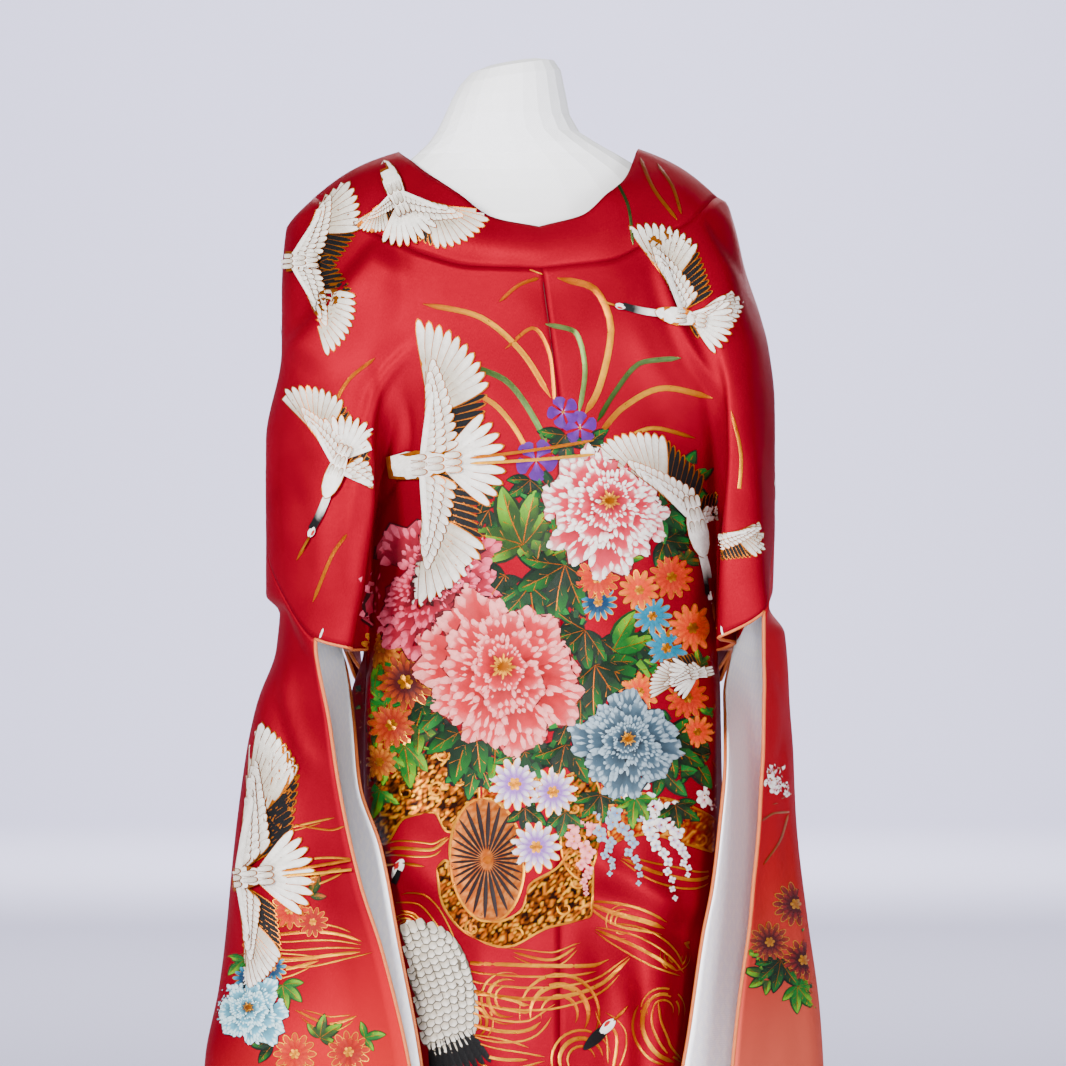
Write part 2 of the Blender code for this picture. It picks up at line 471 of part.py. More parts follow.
    def armhole_normal(self, guide):
        """The shared offset direction of the body and the sleeve at their seam."""
        near = [max(guide - 0.05, TACK), min(guide + 0.05, TACK_F)]
        middle = near.index(guide) if guide in near else None
        near = near if middle is not None else [near[0], guide, near[1]]
        at = near.index(guide)
        body = grid_normals(self.body, near, [0.9, 1.0], self.sign)[at, 1]
        sleeve = grid_normals(self.sleeve_surface, near, [0.0, 0.1], self.sign)[at, 0]
        return mitre(body, sleeve)


def grid_points(surface, guides, rows):
    g, r = np.meshgrid(guides, rows, indexing="ij")
    return surface(g.ravel(), r.ravel()).reshape(len(guides), len(rows), 3)


def grid_normals(surface, guides, rows, sign):
    """Unit normals of a surface(guide, row), pointing out of the garment."""
    tiny = 1e-3
    g, r = np.meshgrid(guides, rows, indexing="ij")
    g, r = g.ravel(), r.ravel()
    g0, g1 = np.maximum(g - tiny, guides[0]), np.minimum(g + tiny, guides[-1])
    r0, r1 = np.maximum(r - tiny, rows[0]), np.minimum(r + tiny, rows[-1])
    sideways = surface(g1, r) - surface(g0, r)
    down = surface(g, r1) - surface(g, r0)
    normal = np.cross(down, sideways) * sign
    normal /= np.linalg.norm(normal, axis=1)[:, None]
    return normal.reshape(len(guides), len(rows), 3)


def material(name, colour, roughness):
    made = bpy.data.materials.new(name)
    made.use_nodes = True
    shader = made.node_tree.nodes["Principled BSDF"]
    shader.inputs["Base Color"].default_value = (*colour, 1.0)
    shader.inputs["Roughness"].default_value = roughness
    return made


def add_object(name, mesh_bm, finish):
    mesh = bpy.data.meshes.new(name)
    mesh_bm.to_mesh(mesh)
    mesh_bm.free()
    mesh.shade_smooth()
    mesh.set_sharp_from_angle(angle=np.radians(50))
    mesh.materials.append(finish)
    made = bpy.data.objects.new(name, mesh)
    bpy.context.scene.collection.objects.link(made)
    return made


def drawn_in(points, normals, edges, gap):
    """The points with each free edge moved into the cloth by half a seam gap."""
    inward = {}
    for a, b in edges:
        way = np.cross(normals[a] + normals[b], points[b] - points[a])
        way /= np.linalg.norm(way)
        inward.setdefault(a, []).append(way)
        inward.setdefault(b, []).append(way)
    drawn = points.copy()
    for corner, ways in inward.items():
        first, last = ways[0], ways[-1]
        drawn[corner] += (first + last) / max(1.0 + np.dot(first, last), 0.5) * gap / 2
    return drawn


def cloth_wall(name, points, normals, kept, thickness, lift, finish, gap=SEAM_GAP):
    """A closed wall on a grid: points moved along their normals, with each free edge drawn in for its seam."""
    i, j = np.argwhere(kept)[0]
    turn = np.cross(points[i + 1, j] - points[i, j], points[i, j + 1] - points[i, j])
    outward = np.dot(turn, normals[i, j]) > 0
    cells, edges = [], {}
    for i, j in zip(*np.nonzero(kept)):
        ring = [(i, j), (i + 1, j), (i + 1, j + 1), (i, j + 1)]
        if not outward:
            ring = [ring[0], ring[3], ring[2], ring[1]]
        cells += [ring[:3], [ring[0], ring[2], ring[3]]]
        for a, b in zip(ring, ring[1:] + ring[:1]):
            edges[a, b] = True
    free = [(a, b) for a, b in edges if (b, a) not in edges]
    drawn = drawn_in(points, normals, free, gap)
    mesh_bm = bmesh.new()
    outer, inner = {}, {}
    for corner in sorted({corner for cell in cells for corner in cell}):
        outer[corner] = mesh_bm.verts.new(drawn[corner] + normals[corner] * (lift + thickness / 2))
        inner[corner] = mesh_bm.verts.new(drawn[corner] + normals[corner] * (lift - thickness / 2))
    for cell in cells:
        mesh_bm.faces.new([outer[corner] for corner in cell])
        mesh_bm.faces.new([inner[corner] for corner in reversed(cell)])
    for a, b in free:
        mesh_bm.faces.new([outer[b], outer[a], inner[a], inner[b]])
    return add_object(name, mesh_bm, finish)


def mitre(first, second):
    """The shared offset direction of two walls that meet at a seam, long enough for an even wall."""
    both = first + second
    both /= np.linalg.norm(both, axis=-1, keepdims=True)
    lean = np.sum(both * first, axis=-1, keepdims=True)
    return both / np.maximum(lean, 0.6)


def spaced(*stops):
    """Values from a chain of (start, end, steps), each joined to the next."""
    values = [stops[0][0]]
    for start, end, steps in stops:
        values += [start + (end - start) * k / steps for k in range(1, steps + 1)]
    return values


def clear_scene():
    for old in list(bpy.data.objects):
        bpy.data.objects.remove(old)


def share_seam(first, second):
    """Gives two walls the same offset directions along their common seam, in place."""
    shared = mitre(first.copy(), second.copy())
    first[...] = shared
    second[...] = shared


def body_panels(side):
    """Guides, points, normals and kept cells of the back, front and overlap, all on one surface."""
    rows = spaced((0.0, 1.0, ARM_ROW), (1.0, 2.0, 13), (2.0, 3.0, 7))
    panels = {}
    for panel, guides in (("body_back", BACK_GUIDES), ("body_front", FRONT_GUIDES),
                          ("okumi", OKUMI_GUIDES)):
        points = grid_points(side.body, guides, rows)
        normals = grid_normals(side.body, guides, rows, side.sign)
        kept = np.ones((len(guides) - 1, len(rows) - 1), bool)
        below = np.array(rows[:-1]) >= 1.0
        for i, guide in enumerate(guides[:-1]):
            if VALLEY <= guide < VALLEY_F:
                kept[i, below] = False
        panels[panel] = (guides, points, normals, kept)
    back, front, okumi = (panels[name][2] for name in ("body_back", "body_front", "okumi"))
    share_seam(back[-1, :ARM_ROW], front[0, :ARM_ROW])
    share_seam(back[BACK_GUIDES.index(VALLEY), ARM_ROW + 1:],
               front[FRONT_GUIDES.index(VALLEY_F), ARM_ROW + 1:])
    share_seam(front[-1], okumi[0])
    return panels


def collar_surface(side, guides, steps):
    """The collar band of one side from its seam (step 0) to its inner edge, slightly rounded."""
    seam = side.body(guides, 0.0)
    edge = smooth(COLLAR_EDGE[side.name], guides)
    across_band = edge - seam
    bulge = np.cross(np.gradient(seam, axis=0), across_band)
    bulge *= side.sign / np.linalg.norm(bulge, axis=1)[:, None]
    return np.stack([seam + across_band * t + bulge * 0.006 * np.sin(np.pi * t) for t in steps], axis=1)


def mesh_normals(points):
    """Normals of a plain grid of points."""
    normal = np.cross(np.gradient(points, axis=0), np.gradient(points, axis=1))
    return normal / np.linalg.norm(normal, axis=-1, keepdims=True)


def build_cloth(sides):
    red = material("red_brocade", (0.56, 0.006, 0.010), 0.42)
    white = material("white_lining", (0.80, 0.81, 0.84), 0.55)
    collar_guides = BACK_GUIDES + FRONT_GUIDES[1:] + OKUMI_GUIDES[1:3]
    steps = [0.0, 0.33, 0.66, 1.0]
    halves = {side.name: collar_surface(side, np.array(collar_guides), steps) for side in sides}
    band = np.concatenate([halves["left"][:0:-1], halves["right"]])
    band_normals = mesh_normals(band)
    middle = len(collar_guides) - 1
    if band_normals[middle, 0, 1] > 0:
        band_normals = -band_normals
    seam_normals = {"left": band_normals[middle::-1, 0].copy(), "right": band_normals[middle:, 0].copy()}
    panels = {side.name: body_panels(side) for side in sides}
    share_seam(panels["left"]["body_back"][2][0], panels["right"]["body_back"][2][0])
    for side in sides:
        for panel, (guides, points, normals, kept) in panels[side.name].items():
            for i, guide in enumerate(guides):
                near = [k for k, g in enumerate(collar_guides) if abs(g - guide) < 1e-6]
                if near:
                    shared = mitre(normals[i, 0], seam_normals[side.name][near[0]])
                    normals[i, 0] = shared
                    at = middle - near[0] if side.name == "left" else middle + near[0]
                    band_normals[at, 0] = shared
            for i, guide in enumerate(guides):
                if TACK <= guide <= TACK_F:
                    normals[i, ARM_ROW] = side.armhole_normal(guide)
            cloth_wall(f"{panel}_{side.name}", points, normals, kept, CLOTH, 0.0, red)
    cloth_wall("collar", band, band_normals, np.ones((len(band) - 1, len(steps) - 1), bool),
               CLOTH, 0.0, red)
    for side in sides:
        build_sleeve(side, red, white)
        build_hem_roll(side, red)


def build_sleeve(side, red, white):
    guides = ARM_BACK + ARM_FRONT[1:]
    rows = spaced((0.0, 0.12, 5), (0.12, 0.92, 13), (0.92, 1.0, 3))
    points = grid_points(side.sleeve_surface, guides, rows)
    normals = grid_normals(side.sleeve_surface, guides, rows, side.sign)
    for i, guide in enumerate(guides):
        normals[i, 0] = side.armhole_normal(guide)
    kept = np.ones((len(guides) - 1, len(rows) - 1), bool)
    for i, guide in enumerate(guides[:-1]):
        middle_z = (points[i, :-1, 2] + points[i, 1:, 2]) / 2
        if TOP - 0.3 < guide < TOP + 0.1:
            kept[i] = ~((middle_z < CUFF_TOP) & (middle_z > CUFF_BOTTOM))
    cloth_wall(f"sleeve_{side.name}", points, normals, kept, CLOTH, 0.0, red, ARMHOLE_GAP)
    lining = [k for k, guide in enumerate(guides) if guide > TOP + 1.0]
    span = [k for k, row in enumerate(rows) if 0.09 < row < 0.9]
    lined = np.ix_(lining, span)
    lift = -(CLOTH / 2 + LINING_GAP + LINING / 2)
    kept = np.ones((len(lining) - 1, len(span) - 1), bool)
    cloth_wall(f"sleeve_lining_{side.name}", points[lined], normals[lined], kept, LINING, lift, white)


def build_hem_roll(side, red):
    guides = [g for g in BACK_GUIDES + FRONT_GUIDES if g <= VALLEY or g > VALLEY_F] + OKUMI_GUIDES[1:]
    end = side.body(guides, 3.0)
    along = np.gradient(end, axis=0)
    along[0] = (side.sign, 0.0, 0.0)
    way = np.cross(along, (0.0, 0.0, side.sign))
    way /= np.linalg.norm(way, axis=1)[:, None]
    corner = np.linalg.norm(way[1:] + way[:-1], axis=1).min() / 2
    centre = end + way * (ROLL_RADIUS + SEAM_GAP) / corner
    centre[:, 2] = ROLL_RADIUS
    centre[0, 0] += side.sign * SEAM_GAP / 2
    sides_round = 8
    roll = bmesh.new()
    rings = []
    for middle, out in zip(centre, way):
        ring = []
        for k in range(sides_round):
            angle = 2 * np.pi * (k + 0.5) / sides_round
            reach = ROLL_RADIUS / np.cos(np.pi / sides_round)
            offset = out * reach * np.cos(angle) + np.array([0, 0, reach * np.sin(angle)])
            ring.append(roll.verts.new(middle + offset))
        rings.append(ring)
    for first, second in zip(rings, rings[1:]):
        for k in range(sides_round):
            n = (k + 1) % sides_round
            roll.faces.new((first[k], first[n], second[n], second[k]))
    roll.faces.new(rings[0])
    roll.faces.new(rings[-1])
    bmesh.ops.recalc_face_normals(roll, faces=roll.faces)
    add_object(f"hem_roll_{side.name}", roll, red)


def build_form():
    jersey = material("white_jersey", (0.82, 0.82, 0.84), 0.75)
    form = bmesh.new()
    rings = []
    for z, half_width, half_depth, centre_x, centre_y, square in FORM_RINGS:
        ring = []
        for k in range(FORM_SIDES):
            angle = 2 * np.pi * k / FORM_SIDES
            c, s = np.cos(angle), np.sin(angle)
            x = half_width * np.sign(c) * abs(c) ** (2 / square)
            y = half_depth * np.sign(s) * abs(s) ** (2 / square)
            tilt = NECK_TILT * x * float(ease((z - 1.53) / 0.05))
            ring.append(form.verts.new((centre_x + x, centre_y + y, z + tilt)))
        rings.append(ring)
    for first, second in zip(rings, rings[1:]):
        for k in range(FORM_SIDES):
            n = (k + 1) % FORM_SIDES
            form.faces.new((first[k], first[n], second[n], second[k]))
    form.faces.new(rings[0][::-1])
    form.faces.new(rings[-1])
    bmesh.ops.recalc_face_normals(form, faces=form.faces)
    add_object("dress_form", form, jersey)


def turned(name, radius, low, high, sides, edge, finish):
    """A round bar or plate with a bevelled top edge."""
    shape = bmesh.new()
    bmesh.ops.create_cone(shape, cap_ends=True, segments=sides, radius1=radius, radius2=radius,
                          depth=high - low)
    bmesh.ops.translate(shape, verts=shape.verts, vec=(0, 0, (high + low) / 2))
    if edge:
        top = [e for e in shape.edges if min(v.co.z for v in e.verts) > high - 1e-5]
        bmesh.ops.bevel(shape, geom=top, offset=edge, offset_type="OFFSET", affect="EDGES",
                        segments=2, profile=0.5, material=-1)
    add_object(name, shape, finish)


def build_stand():
    steel = material("painted_steel", (0.75, 0.75, 0.76), 0.4)
    turned("stand_base", STAND_RADIUS, 0.0, STAND_HEIGHT, 48, 0.004, steel)
    turned("stand_pole", POLE_RADIUS, STAND_HEIGHT + SEAM_GAP, FORM_RINGS[0][0] - SEAM_GAP, 20, 0.0, steel)


clear_scene()
left = Side("left", LEFT, LEFT_SLEEVE)
right = Side("right", RIGHT, RIGHT_SLEEVE)
left.other, right.other = right, left
build_cloth([left, right])
build_form()
build_stand()
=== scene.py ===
"""An uchikake, a padded wedding over-kimono of red satin with raised embroidery, hung open on a
limbless dress form. Metres, +Z up; the back of the garment faces -Y.
"""

import bmesh
import bpy
import numpy as np
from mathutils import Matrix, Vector
from mathutils.bvhtree import BVHTree


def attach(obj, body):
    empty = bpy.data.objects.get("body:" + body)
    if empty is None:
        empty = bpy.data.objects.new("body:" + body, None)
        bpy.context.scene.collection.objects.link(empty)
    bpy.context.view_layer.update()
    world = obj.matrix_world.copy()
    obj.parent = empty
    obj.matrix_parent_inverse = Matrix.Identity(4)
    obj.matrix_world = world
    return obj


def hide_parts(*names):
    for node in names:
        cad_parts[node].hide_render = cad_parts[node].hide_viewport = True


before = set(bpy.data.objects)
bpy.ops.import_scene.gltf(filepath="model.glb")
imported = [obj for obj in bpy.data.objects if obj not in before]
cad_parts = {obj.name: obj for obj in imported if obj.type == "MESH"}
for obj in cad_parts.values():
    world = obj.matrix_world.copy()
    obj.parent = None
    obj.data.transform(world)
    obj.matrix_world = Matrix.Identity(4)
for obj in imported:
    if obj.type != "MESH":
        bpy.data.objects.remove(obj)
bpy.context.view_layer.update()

# ---- Camera: level with the middle of the back and six metres behind it, on a long lens, so that the
# hanging folds and the outline are seen almost without perspective.
eye = np.array([-0.002, -6.05, 1.117])
picture_y = -0.04  # the upright plane that is 1.066 m wide in view
camera = bpy.data.cameras.new("camera")
camera.sensor_width = 36.0
camera.lens = 36.0 * (picture_y - eye[1]) / 1.066
camera.clip_end = 100.0
camera_object = bpy.data.objects.new("camera", camera)
camera_object.location = eye
camera_object.rotation_euler = (np.pi / 2, 0.0, 0.0)
bpy.context.scene.collection.objects.link(camera_object)
bpy.context.scene.camera = camera_object

# ---- Studio: a pale seamless floor that sweeps up far behind. Six large soft lights: three towards the
# back of the robe, one towards its front, and two for the backdrop and the far floor.
floor_half = 20.0
studio = bmesh.new()
bmesh.ops.create_grid(studio, x_segments=1, y_segments=1, size=floor_half)
far_edge = [edge for edge in studio.edges if min(vert.co.y for vert in edge.verts) > floor_half - 0.01]
grown = bmesh.ops.extrude_edge_only(studio, edges=far_edge)
for vert in grown["geom"]:
    if isinstance(vert, bmesh.types.BMVert):
        vert.co.z += 8.0
bmesh.ops.bevel(studio, geom=far_edge, offset=3.0, offset_type="OFFSET", affect="EDGES", segments=12,
                profile=0.5, material=-1)
bmesh.ops.recalc_face_normals(studio, faces=studio.faces)
floor_mesh = bpy.data.meshes.new("studio_floor")
studio.to_mesh(floor_mesh)
studio.free()
floor_mesh.shade_smooth()
floor_look = bpy.data.materials.new("pale_floor")
floor_look.use_nodes = True
floor_shader = floor_look.node_tree.nodes["Principled BSDF"]
floor_shader.inputs["Base Color"].default_value = (0.765, 0.75, 0.955, 1.0)
floor_shader.inputs["Roughness"].default_value = 0.9
floor_mesh.materials.append(floor_look)
studio_floor = bpy.data.objects.new("studio_floor", floor_mesh)
bpy.context.scene.collection.objects.link(studio_floor)

for name, place, aim, power, size, tint in (
    ("key", (-2.9, -4.2, 3.0), (0.0, 0.0, 1.0), 700.0, 1.3, (1.0, 0.985, 0.97)),
    ("fill", (2.7, -4.4, 1.2), (0.0, 0.0, 0.9), 300.0, 2.0, (0.97, 0.98, 1.0)),
    ("level", (0.1, -5.3, 1.15), (0.0, 0.0, 0.9), 210.0, 0.9, (0.98, 0.99, 1.0)),
    ("front", (0.5, 4.2, 3.0), (0.0, 0.0, 0.9), 170.0, 3.0, (1.0, 1.0, 1.0)),
    ("backdrop", (0.0, 13.6, 5.0), (0.0, 20.0, 1.6), 780.0, 5.0, (0.95, 0.95, 1.0)),
    ("far_floor", (0.0, 9.0, 5.5), (0.0, 11.0, 0.0), 520.0, 6.0, (0.95, 0.95, 1.0)),
):
    light = bpy.data.lights.new(name, "AREA")
    light.energy = power
    light.size = size
    light.color = tint
    lamp = bpy.data.objects.new(name, light)
    lamp.location = place
    lamp.rotation_euler = (Vector(aim) - Vector(place)).to_track_quat("-Z", "Y").to_euler()
    bpy.context.scene.collection.objects.link(lamp)
world = bpy.data.worlds.new("studio_air")
world.use_nodes = True
world.node_tree.nodes["Background"].inputs["Color"].default_value = (0.80, 0.80, 0.86, 1.0)
world.node_tree.nodes["Background"].inputs["Strength"].default_value = 0.40
bpy.context.scene.world = world

# ---- The robe's cloth: satin-ground brocade panels, about 3 mm thick with their lining, sewn from
# straight loom widths and hung from the shoulders. Each panel is laid on guide lines that run down the
# cloth, given as rows of height z, sideways x and depth y, and carries the creases of its hang.
cloth_thickness = 0.0028
turn_z = 0.15  # where the hanging cloth starts to turn out into the train
train_rest_z = 0.0095  # the middle of the cloth where it lies on the floor
sleeve_close = 0.07  # the height over which a sleeve's two layers meet at its lower end
collar_end = 15.3  # the guide at which the collar's fold ends
CENTRE, MID, BODY_SIDE, VALLEY, FLAP, RIDGE, TACK, OUTER, TOP = range(9)
OUTER_F, TACK_F, RIDGE_F, FLAP_F, VALLEY_F, BODY_SIDE_F, OKUMI, EDGE = range(9, 17)
CENTRE_BACK = [(1400, 4, -138), (1373, 8, -143), (1313, 16, -153), (1207, 27, -158), (1100, 27, -150),
               (1000, 27, -147), (800, 24, -156), (600, 24, -166), (350, 22, -174), (150, 20, -180)]
# Rows of each guide in millimetres: height z, sideways x, depth y
LEFT = {
    CENTRE: CENTRE_BACK,
    MID: [(1400, -65, -128), (1300, -62, -145), (1200, -65, -149), (1100, -75, -136), (1000, -83, -126),
        (800, -85, -136), (600, -90, -143), (150, -105, -155)],
    BODY_SIDE: [(1450, -112, -100), (1394, -116, -117), (1300, -118, -127), (1200, -130, -112),
        (1150, -143, -85), (1100, -150, -60), (1000, -157, -50), (920, -163, -58), (800, -158, -64),
        (600, -162, -72), (150, -180, -90)],
    VALLEY: [(1450, -128, -93), (1400, -132, -107), (1300, -134, -123), (1250, -137, -118),
        (1200, -146, -98), (1150, -158, -62), (1100, -164, -34), (1000, -168, -18), (930, -170, -7),
        (870, -171, 0), (800, -169, 0), (600, -175, 0), (150, -195, 0)],
    FLAP: [(1450, -145, -86), (1400, -148, -101), (1300, -150, -121), (1250, -152, -121),
        (1200, -158, -110), (1150, -171, -85), (1100, -181, -58), (1000, -187, -40), (950, -160, 50),
        (600, -162, 66), (150, -180, 88)],
    RIDGE: [(1450, -163, -77), (1410, -166, -90), (1300, -166, -118), (1250, -164, -127),
        (1200, -162, -130), (1150, -160, -130), (1100, -167, -127), (1000, -185, -121)],
    TACK: [(1450, -190, -58), (1420, -196, -70), (1300, -200, -104), (1200, -205, -118), (1100, -212, -119),
        (1013, -217, -116)],
    OUTER: [(1454.5, -212, -28), (1430, -233, -35), (1355, -244, -48), (1300, -245, -58), (1210, -259, -64),
        (1000, -260, -64)],
    TOP: [(1454.5, -220.5, 0), (1432, -243, 0), (1423, -249, 0), (1355, -253.5, 0), (1300, -253.5, 0),
        (1210, -268.5, 0), (1050, -268.5, 10)],
    OUTER_F: [(1454.5, -212, 28), (1430, -233, 35), (1355, -243, 50), (1200, -255, 60), (1000, -252, 64)],
    TACK_F: [(1450, -190, 55), (1400, -200, 75), (1300, -208, 92), (1100, -208, 92), (1000, -200, 78)],
    RIDGE_F: [(1420, -178, 85), (1300, -183, 108), (1200, -178, 116), (1000, -180, 98)],
    FLAP_F: [(1420, -162, 94), (1300, -165, 112), (1200, -168, 96), (1100, -184, 60), (1000, -188, 46),
        (950, -160, -56), (600, -162, -70), (150, -180, -90)],
    VALLEY_F: [(1420, -150, 98), (1300, -150, 115), (1200, -152, 80), (1100, -166, 34), (1000, -169, 18),
        (930, -170, 7), (870, -171, 0), (800, -169, 0), (600, -175, 0), (150, -195, 0)],
    BODY_SIDE_F: [(1420, -143, 100), (1320, -138, 118), (1200, -136, 101), (1100, -154, 68),
        (1020, -168, 61), (990, -173, 58), (950, -185, 56), (850, -180, 59), (700, -171, 66),
        (600, -166, 70), (150, -176, 88)],
    OKUMI: [(1330, -125, 128), (1120, -124, 122), (1000, -120, 116), (600, -122, 122), (150, -132, 136)],
    EDGE: [(1330, -50, 150), (1120, -45, 152), (800, -40, 150), (600, -45, 150), (150, -60, 160)],
}
RIGHT = {
    CENTRE: CENTRE_BACK,
    MID: [(1400, 75, -125), (1300, 85, -141), (1200, 98, -143), (1100, 107, -128), (1000, 112, -119),
        (800, 115, -129), (600, 118, -140), (150, 128, -154)],
    BODY_SIDE: [(1450, 105, -96), (1400, 111, -111), (1300, 143, -119), (1250, 158, -110), (1200, 164, -90),
        (1150, 168, -68), (1000, 171, -52), (920, 174, -56), (800, 175, -66), (600, 178, -74),
        (150, 195, -90)],
    VALLEY: [(1450, 118, -89), (1400, 125, -103), (1300, 160, -111), (1250, 173, -101), (1200, 178, -75),
        (1150, 181, -48), (1100, 182, -28), (1000, 182, -18), (930, 182, -7), (870, 182, 0), (800, 184, 0),
        (600, 189, 0), (150, 205, 0)],
    FLAP: [(1450, 131, -81), (1400, 140, -96), (1300, 175, -108), (1250, 187, -105), (1200, 193, -86),
        (1150, 197, -64), (1100, 199, -46), (1000, 200, -38), (950, 176, 50), (600, 178, 68),
        (150, 195, 88)],
    RIDGE: [(1450, 145, -72), (1410, 154, -86), (1300, 186, -107), (1250, 192, -113), (1200, 192, -116),
        (1150, 189, -116), (1100, 186, -114), (1000, 183, -112)],
    TACK: [(1450, 162, -54), (1420, 175, -66), (1300, 205, -93), (1200, 214, -103), (1100, 219, -107),
        (1040, 226, -106)],
    OUTER: [(1454.5, 176, -26), (1430, 192, -35), (1355, 209, -47), (1300, 225, -54), (1210, 234, -58),
        (1000, 234, -58)],
    TOP: [(1454.5, 182, 0), (1451, 190, 0), (1431, 198, 0), (1382, 210, 0), (1333, 226, 0), (1305, 233, 0),
        (1248, 239.5, 0), (1120, 240, 0), (1040, 236, 8)],
    OUTER_F: [(1454.5, 176, 26), (1430, 190, 35), (1355, 208, 48), (1200, 231, 58), (1000, 232, 62)],
    TACK_F: [(1450, 162, 54), (1400, 180, 75), (1300, 200, 90), (1100, 208, 90), (1000, 205, 78)],
    RIDGE_F: [(1420, 160, 85), (1300, 186, 106), (1200, 188, 112), (1000, 188, 98)],
    FLAP_F: [(1420, 148, 94), (1300, 170, 112), (1200, 182, 96), (1100, 197, 60), (1000, 199, 46),
        (950, 173, -56), (600, 176, -72), (150, 195, -90)],
    VALLEY_F: [(1420, 138, 98), (1300, 155, 115), (1200, 168, 80), (1100, 180, 34), (1000, 182, 18),
        (930, 182, 7), (870, 182, 0), (800, 184, 0), (600, 189, 0), (150, 205, 0)],
    BODY_SIDE_F: [(1420, 130, 100), (1320, 142, 118), (1200, 152, 101), (1100, 168, 68), (1020, 180, 60),
        (950, 185, 57), (850, 186, 60), (700, 183, 66), (600, 180, 70), (150, 192, 88)],
    OKUMI: [(1330, 128, 128), (1120, 134, 122), (1000, 134, 116), (600, 138, 122), (150, 148, 136)],
    EDGE: [(1330, 60, 150), (1120, 65, 152), (800, 70, 150), (600, 72, 150), (150, 85, 160)],
}
# The sleeve's own guides, from the armhole seam down
LEFT_SLEEVE = {
    TACK: [(1060, -216.5, -118), (1013, -217, -116), (930, -203, -130), (878, -195, -138),
        (772, -171, -150), (704, -149, -160), (584, -121, -175), (400, -100, -196), (180, -92, -208)],
    OUTER: [(1140, -260, -64), (1055, -261, -60), (1038, -249, -56), (1000, -252, -52), (955, -268, -52),
        (900, -280, -53), (800, -292, -56), (660, -306, -60), (590, -320, -62), (400, -330, -64),
        (180, -334, -64)],
    TOP: [(1140, -268.5, 3), (1055, -267.5, 22), (1038, -254, 30), (1000, -255, 40), (955, -265, 48),
        (900, -277, 58), (800, -290, 66), (660, -303, 72), (590, -314, 76), (400, -320, 80),
        (180, -322, 80)],
    OUTER_F: [(1140, -254, 62), (1055, -248, 70), (1000, -228, 72), (930, -227, 50), (800, -237, 22),
        (660, -252, 0), (590, -258, -8), (180, -268, -20)],
    TACK_F: [(1060, -206, 87), (1010, -200.5, 79), (970, -189, 34), (930, -182, -18), (865, -174, -80),
        (806, -153, -98), (710, -134, -124), (584, -110, -150), (400, -92, -170), (180, -86, -180)],
}
RIGHT_SLEEVE = {
    TACK: [(1080, 221, -106.5), (1040, 226, -106), (929, 225, -120), (842, 222, -130), (767, 215, -140),
        (654, 199, -158), (584, 192, -168), (400, 182, -190), (180, 176, -202)],
    OUTER: [(1140, 234, -58), (1060, 233, -55), (1043, 230, -52), (1016, 245, -50), (930, 250, -52),
        (830, 255, -55), (730, 266, -57), (640, 277, -60), (584, 281, -61), (400, 288, -64),
        (180, 292, -64)],
    TOP: [(1140, 240, 1), (1060, 238, 18), (1043, 234, 24), (1016, 247, 32), (930, 251, 46), (830, 256, 58),
        (730, 265, 66), (640, 276, 72), (584, 280, 75), (400, 284, 80), (180, 286, 80)],
    OUTER_F: [(1140, 231.5, 60), (1055, 229, 72), (1000, 226, 78), (930, 221, 56), (800, 225, 16),
        (660, 237, -6), (590, 242, -14), (180, 252, -26)],
    TACK_F: [(1060, 206.5, 85), (1010, 205.5, 80), (985, 199, 68), (955, 192, 34), (930, 191, -8),
        (883, 189, -72), (832, 184, -94), (767, 176, -110), (720, 166, -122), (620, 150, -140),
        (584, 144, -145), (400, 132, -164), (180, 124, -176)],
}

# Height of the collar seam and of the armhole line at each guide, in millimetres
COLLAR_SEAM_Z = {
    "left": [1377, 1380, 1394, 1402, 1409, 1418, 1437, 1450, 1454.5, 1448, 1432, 1410, 1392, 1370, 1335,
             1120, 806],
    "right": [1377, 1386, 1402, 1408, 1416, 1424, 1439, 1451, 1454.5, 1449, 1434, 1412, 1394, 1372, 1335,
             1120, 806],
}
ARMHOLE_Z = {
    "left": [1000, 1000, 1000, 1000, 1000, 1004, 1013, 1076, 1130, 1082, 1012, 965, 1000, 1000, 1000, 1000,
             720],
    "right": [1000, 1000, 1000, 1000, 1007, 1015, 1040, 1088, 1130, 1084, 1012, 965, 1000, 1000, 1000, 1000,
             720],
}
SLEEVE_END_Z = [0.205, 0.185, 0.18, 0.185, 0.205]  # at guides TACK to TACK_F
# Where each guide reaches the hem on the floor: x, y in millimetres
HEM = {
    "left": {CENTRE: (20, -560), MID: (-170, -530), BODY_SIDE: (-300, -390), VALLEY: (-345, -150),
         FLAP: (-330, 60), FLAP_F: (-320, -300), VALLEY_F: (-345, -150), BODY_SIDE_F: (-310, 100),
         OKUMI: (-215, 235), EDGE: (-110, 270)},
    "right": {CENTRE: (20, -560), MID: (200, -530), BODY_SIDE: (320, -390), VALLEY: (360, -150),
         FLAP: (345, 60), FLAP_F: (335, -300), VALLEY_F: (360, -150), BODY_SIDE_F: (325, 100),
         OKUMI: (235, 235), EDGE: (130, 270)},
}
